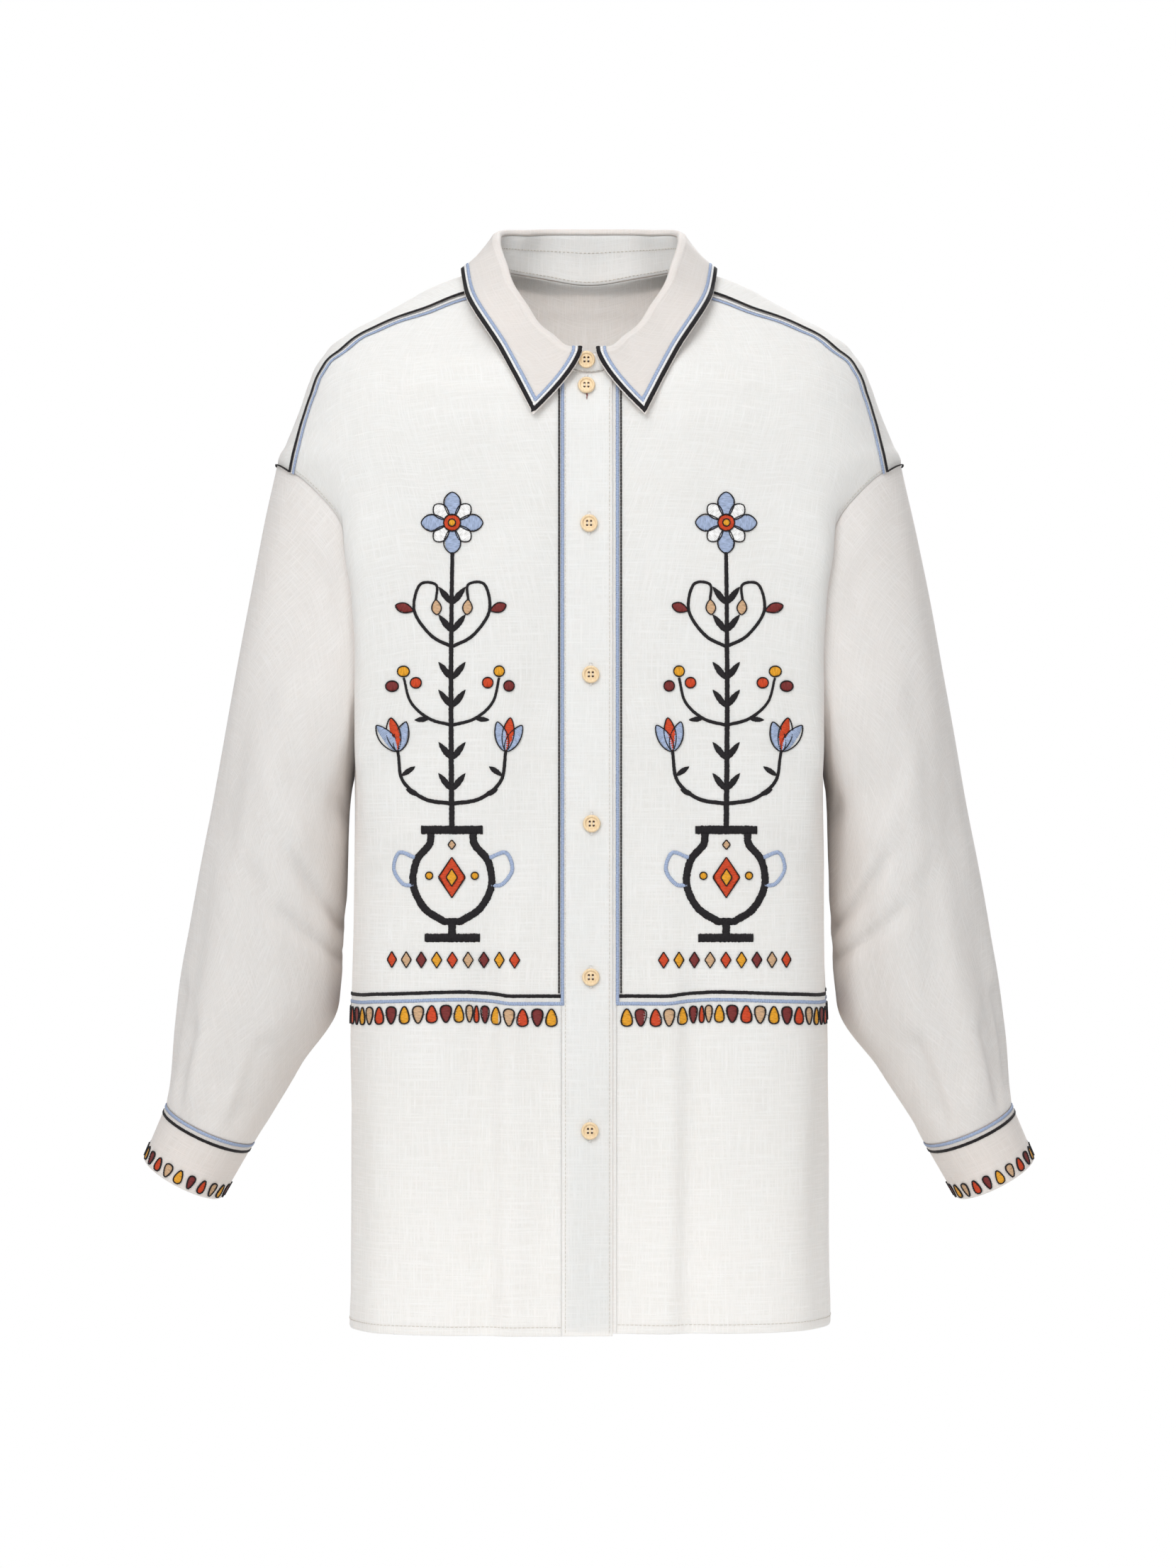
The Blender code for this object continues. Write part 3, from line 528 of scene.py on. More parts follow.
def front_panel(hem):
    """Turn and height of the left front's grid."""
    neck_edge = neck(np.linspace(BAND_STARTS, YOKE_MEETS_NECK, NECK_STEPS + 1))
    top = on_body(np.concatenate([neck_edge[:-1], yoke_front_seam(SEAM_STEPS)]))
    z = placket_heights(hem, BAND_STARTS)
    left = joined(front_turn(PLACKET_SEAM, z), z)
    left[-1] = top[0]
    right = on_body(side_line(hem, armhole_part(180, YOKE_FRONT_TURN, ARMHOLE_STEPS)))
    return panel(top, left, right)


def back_panel():
    """Turn and height of the back's grid."""
    left = on_body(side_line(HEM_BACK, armhole_part(-180, YOKE_BACK_TURN, ARMHOLE_STEPS)))
    top = on_body(yoke_back_seam(BACK_NECK_STEPS + 2 * SEAM_STEPS))
    return panel(top, left, left * (-1, 1) + (-math.pi, 0))


def within_the_widest_ring(plan):
    """Places in plan drawn in where they lie outside the ring at the sleeve heads."""
    reach, square = outside_ring(plan[..., 0], plan[..., 1], np.array(-WIDEST))
    return plan / np.maximum(1.0, reach ** (1 / square) * 1.001)[..., None]


def yoke_points():
    """The yoke's grid: front and back seams blended in plan and lifted onto the shoulders."""
    seam = yoke_front_seam(SEAM_STEPS)
    round_neck = neck(np.linspace(YOKE_MEETS_NECK, -YOKE_MEETS_NECK, BACK_NECK_STEPS + 1))
    front = np.concatenate([seam[::-1][:-1], round_neck, (seam * (-1, 1, 1))[1:]])
    back = yoke_back_seam(BACK_NECK_STEPS + 2 * SEAM_STEPS)
    end = armhole_part(YOKE_FRONT_TURN, YOKE_BACK_TURN, YOKE_STEPS)
    across = np.abs(np.linspace(-1, 1, len(front)))[None, :, None]
    v = np.linspace(0, 1, YOKE_STEPS + 1)[:, None, None]
    plan = (1 - v) * front[None, :, :2] + v * back[None, :, :2]
    straight_end = (1 - v[:, 0]) * front[0, :2] + v[:, 0] * back[0, :2]
    bow = (end[:, :2] - straight_end)[:, None] * across**3
    bow[:, len(front) // 2 :, 0] *= -1
    plan = within_the_widest_ring(plan + bow)
    grid = np.concatenate([plan, height_at(plan[..., 0], plan[..., 1])[..., None]], axis=-1)
    grid[0], grid[-1] = front, back
    grid[:, 0], grid[:, -1] = end, end * (-1, 1, 1)
    return grid


def band_panel(side, hem):
    """Turn and height of a front band's grid, from its seam to its free edge."""
    lines = []
    for angle in np.linspace(BAND_STARTS, BAND_ENDS, BAND_COLUMNS + 1):
        z = placket_heights(hem, angle)
        x = side * NECK_HALF_WIDTH * math.sin(math.radians(angle))
        lines.append(joined(front_turn(x, z), z))
    return np.array(lines).transpose(1, 0, 2)


FRONT_LEFT, FRONT_RIGHT = front_panel(HEM_LEFT), front_panel(HEM_RIGHT) * (-1, 1) + (math.pi, 0)
BACK, YOKE = back_panel(), on_body(yoke_points())
YOKE[..., 0] = np.where(YOKE[..., 0] > math.pi / 2, YOKE[..., 0] - 2 * math.pi, YOKE[..., 0])
BAND_LEFT, BAND_RIGHT = band_panel(1, HEM_LEFT), band_panel(-1, HEM_RIGHT)
print("rows and columns of a front:", FRONT_LEFT.shape[:2], "of the back:", BACK.shape[:2])

# %% [markdown]
# ## From a grid to a piece of cloth
#
# Cloth has two faces and rounded edges. Solidify would give it a wall, but with square rims. The
# shell here is made at once from the outer grid and the same grid moved in. Close to an edge
# there are two extra rows, and both faces draw together there, so each edge looks turned.

# %% Meshes from grids
EDGE_ROWS = (0.09, 0.3)
EDGE_REACH, EDGE_DIP = 0.0016, 0.42


def crowded(grid, axis):
    """The grid with two more rows inside each end of an axis, at given shares of a step."""
    grid = np.moveaxis(grid, axis, 0)
    near = [grid[0] + share * (grid[1] - grid[0]) for share in EDGE_ROWS]
    far = [grid[-1] + share * (grid[-2] - grid[-1]) for share in EDGE_ROWS[::-1]]
    grid = np.concatenate([grid[:1], near, grid[1:-1], far, grid[-1:]])
    return np.moveaxis(grid, 0, axis)


def drawn_in(points, thickness, wraps):
    """How far each face dips near an edge: (1 - d / reach)^2 of nearly half the thickness."""
    down = along_axis(points, 0)
    away = np.minimum(down, down[-1:] - down)
    if not wraps:
        across = along_axis(points, 1)
        away = np.minimum(away, np.minimum(across, across[:, -1:] - across))
    return EDGE_DIP * thickness * np.clip(1 - away / EDGE_REACH, 0, 1) ** 2


print("reach of a turned edge in mm:", 1000 * EDGE_REACH)

# %% [markdown]
# A mesh is a list of points and a list of corner numbers. Numbering the grid once is enough: its
# slices, moved by one, are the corners of all the faces. The flat map takes its lengths from the
# cloth itself, so that the yarns keep their size everywhere.


# %% Faces and pieces
def strips(index):
    """Four-sided faces between neighbouring rows and columns of an index grid."""
    corners = (index[:-1, :-1], index[:-1, 1:], index[1:, 1:], index[1:, :-1])
    return np.stack(corners, axis=-1).reshape(-1, 4)


def placed(name, data):
    """A new object of the scene."""
    made = bpy.data.objects.new(name, data)
    bpy.context.scene.collection.objects.link(made)
    return made


def mesh_piece(name, points, faces, uv, finish):
    """A smooth mesh piece with a flat map for each face's corners, which rides on the root."""
    mesh = bpy.data.meshes.new(name)
    mesh.vertices.add(len(points))
    mesh.vertices.foreach_set("co", points.astype(np.float32).ravel())
    sizes = np.full(len(faces), faces.shape[1])
    mesh.loops.add(int(sizes.sum()))
    mesh.loops.foreach_set("vertex_index", faces.astype(np.int32).ravel())
    mesh.polygons.add(len(faces))
    mesh.polygons.foreach_set("loop_start", np.r_[0, np.cumsum(sizes)[:-1]].astype(np.int32))
    mesh.update(calc_edges=True)
    flat_map = mesh.uv_layers.new(name="cloth")
    flat_map.data.foreach_set("uv", uv.astype(np.float32).ravel())
    mesh.shade_smooth()
    mesh.materials.append(finish)
    piece = placed(name, mesh)
    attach(piece, "root")
    return piece


def wall_faces(near, deep, wraps):
    """Faces of a wall from the corner numbers of its two layers."""
    rims = [strips(np.stack([deep[0], near[0]])), strips(np.stack([near[-1], deep[-1]]))]
    if not wraps:
        rims.append(strips(np.stack([near[:, 0], deep[:, 0]])))
        rims.append(strips(np.stack([deep[:, -1], near[:, -1]])))
    return np.concatenate([strips(near), strips(deep)[:, ::-1], *rims])


def numbered(rows, across):
    """A grid of counting numbers."""
    return np.arange(rows * across).reshape(rows, across)


small = numbered(3, 3)
print("faces of a wall of 2 x 2 steps:", len(wall_faces(small, small + 9, False)))

# %% [markdown]
# The last helpers make the shell, measure the flat cloth that it was cut from, and put it in the
# place of its solid.


# %% Sheets of cloth
def shell(name, points, ways_out, thickness, finish, wraps=False):
    """A closed wall: the grid, the same grid moved in by the thickness, and the rims."""
    dip = drawn_in(points, thickness, wraps)[..., None]
    outer, inner = points - ways_out * dip, points - ways_out * (thickness - dip)
    whole = closed_round(points) if wraps else points
    across, down = along_axis(whole, 1), along_axis(whole, 0)
    flat = np.stack([across - across[:, across.shape[1] // 2][:, None], down], axis=-1)
    index, spots = numbered(*points.shape[:2]), numbered(*whole.shape[:2])
    index = closed_round(index) if wraps else index
    faces = wall_faces(index, index + points[..., 0].size, wraps)
    corners = wall_faces(spots, spots, wraps)
    normal = np.cross(points[1:, :-1] - points[:-1, :-1], points[:-1, 1:] - points[:-1, :-1])
    if np.sum(normal * ways_out[:-1, :-1]) > 0:
        faces, corners = faces[:, ::-1], corners[:, ::-1]
    everything = np.concatenate([outer.reshape(-1, 3), inner.reshape(-1, 3)])
    return mesh_piece(name, everything, faces, flat.reshape(-1, 2)[corners], finish)


def cut_size(points, wraps=False):
    """Width, length and area of the flat cloth that covers a grid of points."""
    points = closed_round(points) if wraps else points
    width, length = along_axis(points, 1)[:, -1].max(), along_axis(points, 0)[-1].max()
    one, other = points[1:, 1:] - points[:-1, :-1], points[1:, :-1] - points[:-1, 1:]
    area = 0.5 * np.linalg.norm(np.cross(one, other), axis=-1).sum()
    return float(width), float(length), float(min(area, width * length))


def place_sheet(solid, points, ways, wall, finish, wraps=False):
    """Put a shell in the place of its solid, and print how the cloth was cut."""
    piece = shell(f"{solid}_cloth", points, ways, wall, finish, wraps)
    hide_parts(solid)
    width, length, area = cut_size(points, wraps)
    print(f"{piece.name}: cut {width:.3f} x {length:.3f} m, {area:.4f} square metres")


# %% [markdown]
# ## Linen
#
# Linen is woven one over, one under, from yarns that are thick and thin by turns. Those thick
# places, called slubs, are what the eye sees from a step away: short pale and dark dashes that
# run both ways. A photograph of cloth could be wrapped on, but this file holds no pictures. So
# the yarns are two crossed sine waves for the bump, and the slubs are noise stretched a long way
# along the warp and again along the weft. All of it reads the piece's own flat map, in metres,
# so the yarns turn with the panel that was cut from them.


# %% A small kit for node materials
def feed(tree, target, socket, source):
    """Set a socket to a number, or link it to another socket."""
    if isinstance(source, bpy.types.NodeSocket):
        tree.links.new(source, target.inputs[socket])
    else:
        target.inputs[socket].default_value = source


def node(tree, kind, inputs, **settings):
    """A new node with its settings, whose inputs are numbers or other nodes' outputs."""
    made = tree.nodes.new(kind)
    for key, value in settings.items():
        setattr(made, key, value)
    for socket, source in inputs.items():
        feed(tree, made, socket, source)
    return made


def calc(tree, operation, first, second=0.0):
    """A Math node's result."""
    return node(tree, "ShaderNodeMath", {0: first, 1: second}, operation=operation).outputs[0]


def weighted(tree, *parts):
    """The sum of value times weight over (value, weight) pairs."""
    total, *others = [calc(tree, "MULTIPLY", value, weight) for value, weight in parts]
    for other in others:
        total = calc(tree, "ADD", total, other)
    return total


def yarn_wave(tree, length, pitch):
    """sin(2 pi length / pitch), along one length of the flat map."""
    return calc(tree, "SINE", calc(tree, "MULTIPLY", length, 2 * math.pi / pitch))


def stretched_noise(tree, flat, across, along, detail=2.0):
    """Noise on the flat map with a different scale each way, in turns a metre."""
    scaled = node(tree, "ShaderNodeMapping", {"Vector": flat, "Scale": (across, along, 1.0)})
    inputs = {"Vector": scaled.outputs[0], "Scale": 1.0, "Detail": detail, "Roughness": 0.55}
    return node(tree, "ShaderNodeTexNoise", inputs, noise_dimensions="2D").outputs[0]


def blended(tree, amount, *colours):
    """A colour between two others."""
    first, second = [(*colour, 1) if isinstance(colour, tuple) else colour for colour in colours]
    inputs = {0: amount, 6: first, 7: second}
    return node(tree, "ShaderNodeMix", inputs, data_type="RGBA").outputs[2]


def between(tree, value, low, high):
    """0 below low, 1 above high, straight between them."""
    return node(tree, "ShaderNodeMapRange", {0: value, 1: low, 2: high}).outputs[0]


def raise_by(tree, shader, height, strength, distance):
    """Let a height bend the way that the surface faces."""
    inputs = {"Height": height, "Strength": strength, "Distance": distance}
    feed(tree, shader, "Normal", node(tree, "ShaderNodeBump", inputs).outputs[0])


def new_finish(name, roughness, sheen, see_through=0.0):
    """A material, its tree, its shader, the flat map and the map's two lengths."""
    made = bpy.data.materials.new(name)
    made.use_nodes = True
    tree = made.node_tree
    shader = tree.nodes["Principled BSDF"]
    numbers = {"Roughness": roughness, "Sheen Weight": sheen, "Sheen Roughness": 0.4,
               "Subsurface Weight": see_through, "Subsurface Radius": (1.0, 0.86, 0.8),
               "Subsurface Scale": 0.006}
    for socket, number in numbers.items():
        feed(tree, shader, socket, number)
    flat = node(tree, "ShaderNodeUVMap", {}, uv_map="cloth").outputs[0]
    across, along, _ = node(tree, "ShaderNodeSeparateXYZ", {0: flat}).outputs
    return made, tree, shader, flat, (across, along)


print("material helpers are ready")

# %% [markdown]
# Four tones are enough. The sleeves face away from the light and look warmer, so their linen is
# a darker, warmer copy as painted shade. Doubled cloth is denser, and the collar and the cuffs get
# a darker, creamier copy, which is painted shade too.

# %% Linen for the panels and the doubled pieces
YARN = 0.00062
WARP_SLUBS, WEFT_SLUBS, FINE_SLUBS, CLOUDS = (900, 34), (30, 900), (1500, 160, 1.0), (9, 11)


def linen(name, pale, deep, slub_strength):
    """Two crossed yarn waves for the bump, and slubs both ways for colour and bump."""
    made, tree, shader, flat, (across, along) = new_finish(name, 0.86, 0.1, 0.7)
    weave = calc(tree, "MULTIPLY", yarn_wave(tree, across, YARN), yarn_wave(tree, along, YARN))
    warp, weft, fine, clouds = [stretched_noise(tree, flat, *scales)
                                for scales in (WARP_SLUBS, WEFT_SLUBS, FINE_SLUBS, CLOUDS)]
    slubs = calc(tree, "MAXIMUM", warp, weft)
    tone = weighted(tree, (slubs, 0.75), (fine, 0.25), (clouds, 0.18))
    feed(tree, shader, "Base Color", blended(tree, between(tree, tone, 0.5, 0.86), deep, pale))
    height = weighted(tree, (weave, 0.12), (slubs, slub_strength))
    raise_by(tree, shader, height, 0.55, 0.00035)
    return made


LINEN = linen("woven_linen", (0.935, 0.89, 0.855), (0.83, 0.785, 0.74), 1.0)
# The sleeves' darker, warmer tone is painted shade.
LINEN_SLEEVE_SHADE = linen("sleeve_linen_painted_shade", (0.915, 0.835, 0.795), (0.81, 0.73, 0.685), 1.0)
LINEN_DOUBLE = linen("doubled_linen", (0.935, 0.89, 0.855), (0.85, 0.805, 0.765), 0.7)
# The collar's and the cuffs' darker, creamier tone is painted shade.
LINEN_COLLAR_CUFF_SHADE = linen("collar_cuff_linen_painted_shade", (0.75, 0.695, 0.665), (0.685, 0.63, 0.595), 0.7)
print("finishes:", LINEN.name, LINEN_SLEEVE_SHADE.name, LINEN_DOUBLE.name, LINEN_COLLAR_CUFF_SHADE.name)

# %% [markdown]
# ## The body panels
#
# Six pieces of cloth make the body. They could be one mesh with lines drawn on it, but a blouse
# is sewn from parts, and each part keeps its own grain and its own turned edges.

# %% Fronts, back, yoke and bands
def halved(grid):
    """The grid with one more column between each two."""
    finer = np.empty((grid.shape[0], 2 * grid.shape[1] - 1, grid.shape[2]))
    finer[:, ::2], finer[:, 1::2] = grid, (grid[:, 1:] + grid[:, :-1]) / 2
    return finer


PANELS = (
    # solid, grid, wall, under, finish, slot, has the fold beside the arm
    ("front_right", FRONT_RIGHT, PANEL_WALL, False, LINEN, "linen", True),
    ("front_left", FRONT_LEFT, PANEL_WALL, True, LINEN, "linen", True),
    ("back", BACK, PANEL_WALL, False, LINEN, "linen", False),
    ("yoke", YOKE, PANEL_WALL, False, LINEN, "linen", False),
    ("buttonhole_band", BAND_RIGHT, DOUBLE_WALL, False, LINEN_DOUBLE, "linen_double", False),
    ("button_band", BAND_LEFT, DOUBLE_WALL, True, LINEN_DOUBLE, "linen_double", False),
)
for solid, grid, wall, under, finish, slot, beside_arm in PANELS:
    grid = crowded(crowded(grid if solid == "back" else halved(grid), 0), 1)
    across = along_axis(body(grid[..., 0], grid[..., 1]), 1)
    from_seam = across[:, -1:] - across if beside_arm else 1.0
    points, ways = cloth_at(grid[..., 0], grid[..., 1], 0.0, under, from_seam)
    place_sheet(solid, points, ways, wall, finish)

# %% [markdown]
# ## Sleeves and cuffs
#
# A sleeve could be one bent cone. A real one starts as wide as its armhole, in the armhole's own
# odd shape, and only further down does it become a plain tube. So each ring is an ellipse plus
# what is left of the armhole's shape, and that rest fades away over the first third.

# %% Sizes of the sleeves
SLEEVE = (
    # name, along, outer across, outer below, inner across, inner below, half depth, back, tilt
    ("armhole", 0.0, 0.2195, 0.139, 0.1635, 0.35, 0.076, 0.0, 0.0),
    ("under the armhole", 0.12, 0.2308, 0.193, 0.169, 0.378, 0.0765, 0.0, 0.3),
    ("upper arm", 0.3, 0.2473, 0.276, 0.17, 0.418, 0.0755, 0.001, 1.0),
    ("elbow", 0.5, 0.264, 0.368, 0.1715, 0.463, 0.071, 0.003, 2.0),
    ("forearm", 0.7, 0.282, 0.463, 0.1745, 0.512, 0.064, 0.005, 3.5),
    ("above the cuff", 0.85, 0.2918, 0.525, 0.2035, 0.563, 0.056, 0.006, 5.0),
    ("near the cuff", 0.95, 0.296, 0.566, 0.225, 0.5975, 0.048, 0.006, 5.5),
    ("cuff seam", 1.0, 0.298, 0.588, 0.2365, 0.616, 0.0425, 0.006, 5.5),
)
CUFF = (
    # name, along, outer across, outer below, inner across, inner below, half depth, back, tilt
    ("cuff seam", 0.0, 0.2982, 0.5883, 0.2367, 0.6163, 0.0425, 0.006, 5.5),
    ("cuff edge", 1.0, 0.3145, 0.6265, 0.2595, 0.6555, 0.0405, 0.01, 5.5),
)
SLEEVE_FOLDS = (
    # name, angle, half width in degrees, height, starts along, full along
    ("outer hollow", 38, 12, -0.003, 0.55, 0.86),
    ("front ridge", 66, 13, 0.0026, 0.5, 0.84),
    ("inner hollow", 128, 14, -0.0028, 0.4, 0.8),
    ("back hollow", -52, 14, -0.0034, 0.45, 0.84),
    ("back ridge", -88, 14, 0.003, 0.4, 0.82),
)
SLEEVE_CREASES = (
    # name, along at start, angle at start, along at end, angle at end, half width, height
    ("armpit drag", 0.16, 150, 0.34, 95, 0.016, -0.0033),
    ("armpit ridge", 0.1, 120, 0.26, 70, 0.014, 0.0018),
    ("upper arm fall", 0.1, 58, 0.52, 40, 0.02, -0.0024),
    ("inner elbow, upper", 0.5, 168, 0.46, 112, 0.012, -0.0039),
    ("inner elbow, lower", 0.6, 170, 0.58, 105, 0.011, -0.0033),
    ("forearm fall", 0.56, 75, 0.9, 92, 0.014, -0.0027),
    ("over the cuff, outer", 0.8, 22, 0.97, 14, 0.007, -0.0033),
    ("over the cuff, front", 0.84, 52, 0.98, 48, 0.006, -0.0027),
    ("over the cuff, inner", 0.82, 112, 0.98, 118, 0.007, -0.003),
    ("back of the armpit", 0.14, -145, 0.36, -90, 0.016, -0.0036),
    ("back elbow, upper", 0.46, -160, 0.44, -95, 0.013, -0.0039),
    ("back elbow, lower", 0.56, -165, 0.6, -100, 0.012, -0.0036),
    ("back forearm fall", 0.62, -70, 0.94, -64, 0.012, -0.0036),
    ("over the cuff, back", 0.82, -110, 0.98, -120, 0.007, -0.0033),
    ("over the cuff, back outer", 0.84, -30, 0.98, -24, 0.007, -0.003),
)
SLEEVE_WAVES = (
    # name, times round, along length, phase, height
    ("broad", 2, 0.9, 0.5, 0.0009),
    ("drape", 5, 0.55, 2.6, 0.0006),
    ("small drape", 9, 0.33, 4.4, 0.0004),
    ("ripple", -14, 0.21, 1.3, 0.0002),
)
SHAPE_SETTLES, SLEEVE_CLEARS, CLEARS_FROM, SLEEVE_ROWS_CROWD = 0.38, 0.003, 0.04, 1.08
FOLDS_FADE, CREASES_GROW, CREASES_FADE = (0.93, 1.0), (0.0, 0.1), (0.955, 1.0)
SLEEVE_LENGTH, SLEEVE_REACH, REACH_LOST = 0.5, 0.068, 0.024
print("rings of a sleeve:", len(SLEEVE), "creases:", len(SLEEVE_CREASES))

# %% [markdown]
# One function serves sleeves and cuffs: it reads the table, tilts an ellipse into each station
# and swells it where a fold runs.


# %% Rings of a tube
def tube_ring(table, along, angle):
    """middle + half cos + depth front sin, with the folds as a swelling of the ellipse."""
    stations, *sizes = columns(table)
    outer_x, outer_b, inner_x, inner_b, depth, back, tilt = [
        eased(along, stations, size) for size in sizes
    ]
    zero = np.zeros_like(outer_x)
    outer = np.stack([outer_x, zero, -outer_b], axis=-1)
    inner = np.stack([inner_x, zero, -inner_b], axis=-1)
    middle = (outer + inner) / 2 + np.stack([zero, back, zero], axis=-1)
    half = (outer - inner) / 2
    down = unit(np.stack([half[..., 2], zero, -half[..., 0]], axis=-1))
    tilt = np.radians(tilt)[..., None]
    front = np.cos(tilt) * np.array([0.0, -1.0, 0.0]) + np.sin(tilt) * down
    cosine, sine = np.cos(angle)[..., None], np.sin(angle)[..., None]
    swell = 1.0
    if table is SLEEVE:
        let_out = 1 - ramp(along, *FOLDS_FADE)
        for fold in folds(SLEEVE_FOLDS, angle, along):
            swell = swell + (fold / depth * let_out)[..., None]
    return middle + swell * (half * cosine + depth[..., None] * front * sine)


def sleeve_softness(along, angle, lean):
    """Weak waves and the main creases, both nothing at the armhole and at the cuff."""
    out = np.zeros(np.broadcast(along, angle).shape)
    for times, length, phase, height in zip(*columns(SLEEVE_WAVES)):
        wave = times * angle + phase + lean + 2 * math.pi * along * SLEEVE_LENGTH / length
        out = out + height * np.sin(wave)
    reach = SLEEVE_REACH - REACH_LOST * along
    for start, start_angle, end, end_angle, width, height in zip(*columns(SLEEVE_CREASES)):
        a, run = turned_from(angle, start_angle) * reach, math.radians(end_angle - start_angle)
        b, down = (along - start) * SLEEVE_LENGTH, (end - start) * SLEEVE_LENGTH
        out = out + crease(a, b, run * reach, down, width, height)
    return out * ramp(along, *CREASES_GROW) * (1 - ramp(along, *CREASES_FADE))


elbow = tube_ring(SLEEVE, np.array([0.5]), np.array([0.0]))[0]
print("outer elbow at", np.round(elbow, 3).tolist())

# %% [markdown]
# A sleeve that touched the body would show as a dark line, so its points are moved sideways until
# they are clear of it. Then come the creases, along the way out of the finished tube.


# %% The whole sleeve
def pushed_clear(points, clearance):
    """The points moved sideways out of the body, where they come too near to it."""
    turn, z = on_body(points)[..., 0], points[..., 2]
    radius = np.hypot(points[..., 0], points[..., 1])
    grow = np.maximum((body_radius(turn, z) + clearance) / radius, 1.0)[..., None]
    return points * np.concatenate([grow, grow, np.ones_like(grow)], axis=-1)


def sleeve_points(lean):
    """The left sleeve: rings of an ellipse plus the armhole's own shape, which fades away."""
    parts = ((YOKE_FRONT_TURN, YOKE_BACK_TURN, YOKE_STEPS), (YOKE_BACK_TURN, -180, ARMHOLE_STEPS),
             (180, YOKE_FRONT_TURN, ARMHOLE_STEPS))
    seam = np.concatenate([armhole_part(*part)[:-1] for part in parts])
    _, _, outer_x, outer_b, inner_x, inner_b, depth, _, _ = SLEEVE[0]
    middle = np.array([(outer_x + inner_x) / 2, 0, -(outer_b + inner_b) / 2])
    half = np.array([(outer_x - inner_x) / 2, 0, -(outer_b - inner_b) / 2])
    along_half = (seam - middle) @ half / (half @ half)
    angle = np.arctan2(-seam[:, 1] / depth, along_half)
    stretch = seam - tube_ring(SLEEVE, np.zeros(len(angle)), angle)
    along = np.linspace(0, 1, SLEEVE_STEPS + 1) ** SLEEVE_ROWS_CROWD
    along = crowded(along[:, None], 0)[:, 0]
    rows = []
    for station in along:
        points = tube_ring(SLEEVE, np.full(len(angle), station), angle)
        points = points + stretch * (1 - ramp(station, 0, SHAPE_SETTLES))
        rows.append(pushed_clear(points, SLEEVE_CLEARS * min(station / CLEARS_FROM, 1)))
    points = np.array(rows)
    ways = wrapped_ways_out(points)
    soft = sleeve_softness(along[:, None], angle[None], lean)
    return points + ways * soft[..., None], ways


def wrapped_ways_out(points):
    """Ways out of a tube's grid, from the steps to the neighbours round and along."""
    across = np.roll(points, -1, axis=1) - np.roll(points, 1, axis=1)
    ways = unit(np.cross(across, np.gradient(points, axis=0)))
    middle = points.mean(axis=1, keepdims=True)
    return ways * np.sign(np.sum(ways * (points - middle)))


print("a sleeve has", SLEEVE_STEPS, "steps down and", YOKE_STEPS + 2 * ARMHOLE_STEPS, "round")

# %% [markdown]
# The right sleeve is the left one mirrored, with its waves moved along, so they aren't twins.

# %% Make the sleeves
LEFT, RIGHT = np.array([1.0, 1.0, 1.0]), np.array([-1.0, 1.0, 1.0])
for side, flip, lean in (("left", LEFT, 0.0), ("right", RIGHT, 1.7)):
    points, ways = sleeve_points(lean)
    place_sheet(f"sleeve_{side}", points * flip, ways * flip, PANEL_WALL, LINEN_SLEEVE_SHADE,
                wraps=True)

# %% [markdown]
# A cuff is doubled cloth, closed all round, since the photograph shows no opening.

# %% Make the cuffs
CUFF_ROWS, CUFF_COLUMNS, CUFF_NUDGE = 12, 120, 0.01


def cuff_at(along, angle):
    """A point of the left cuff and the way out of it."""
    along, angle = np.broadcast_arrays(along, angle)
    across = (tube_ring(CUFF, along, angle + CUFF_NUDGE)
              - tube_ring(CUFF, along, angle - CUFF_NUDGE))
    down = tube_ring(CUFF, np.ones_like(along), angle) - tube_ring(CUFF, 0 * along, angle)
    return tube_ring(CUFF, along, angle), unit(np.cross(across, down))


points, ways = cuff_at(crowded(np.linspace(0, 1, CUFF_ROWS)[:, None], 0),
                       full_turn(CUFF_COLUMNS)[None])
for side, flip in (("left", LEFT), ("right", RIGHT)):
    place_sheet(f"cuff_{side}", points * flip, ways * flip, COLLAR_WALL, LINEN_COLLAR_CUFF_SHADE,
                wraps=True)

# %% [markdown]
# ## The collar
#
# The stand rises from the neck seam. The fall begins at the stand's top, rolls over it and lies
# on the shoulders. Both are lines that are read by the angle round the neck, joined by straight
# rows on the stand and by a curve on the fall.

# %% Sizes of the collar
STAND_TOP = (
    # name, angle, across, forward, below
    ("middle back", 0, 0.0, -0.063, -0.0305),
    ("back corner", 45, 0.045, -0.044, -0.028),
    ("side", 88, 0.0645, 0.001, -0.0185),
    ("front of the side", 112, 0.059, 0.034, 0.003),
    ("front curve", 138, 0.043, 0.065, 0.036),
    ("towards the button", 158, 0.0245, 0.0835, 0.058),
    ("over the button", 172, 0.009, 0.09, 0.0665),
    ("end", 194, -0.0165, 0.0895, 0.0672),
)
FALL_EDGE = (
    # name, angle, across, forward, below
    ("middle back", 0, 0.0, -0.0765, 0.009),
    ("back corner", 45, 0.062, -0.056, 0.005),
    ("over the shoulder", 85, 0.0905, -0.002, 0.001),
    ("at the yoke seam", 112, 0.088, 0.027, 0.0165),
    ("front edge", 145, 0.062, 0.08, 0.064),
    ("tip", 176.2, 0.0385, 0.105, 0.1096),
)
STAND_BULGE = 0.0012
ROLL_OUT, ROLL_UP, ROLL_TOP = 0.0038, 0.0026, 0.0046
BEND_OUT, BEND_DOWN, BEND_SHARE = 0.004, 0.01, 0.12
FALL_NUDGE, ANGLE_NUDGE = 0.01, 0.2
FALL_ENDS = BAND_STARTS + (BAND_ENDS - BAND_STARTS) * 0.41
print("the fall ends", round(FALL_ENDS, 1), "degrees round the neck")

# %% [markdown]
# Each part of the collar is a function of a share of the way down and an angle round the neck,
# so that the bands of embroidery can later ask it where the cloth is.


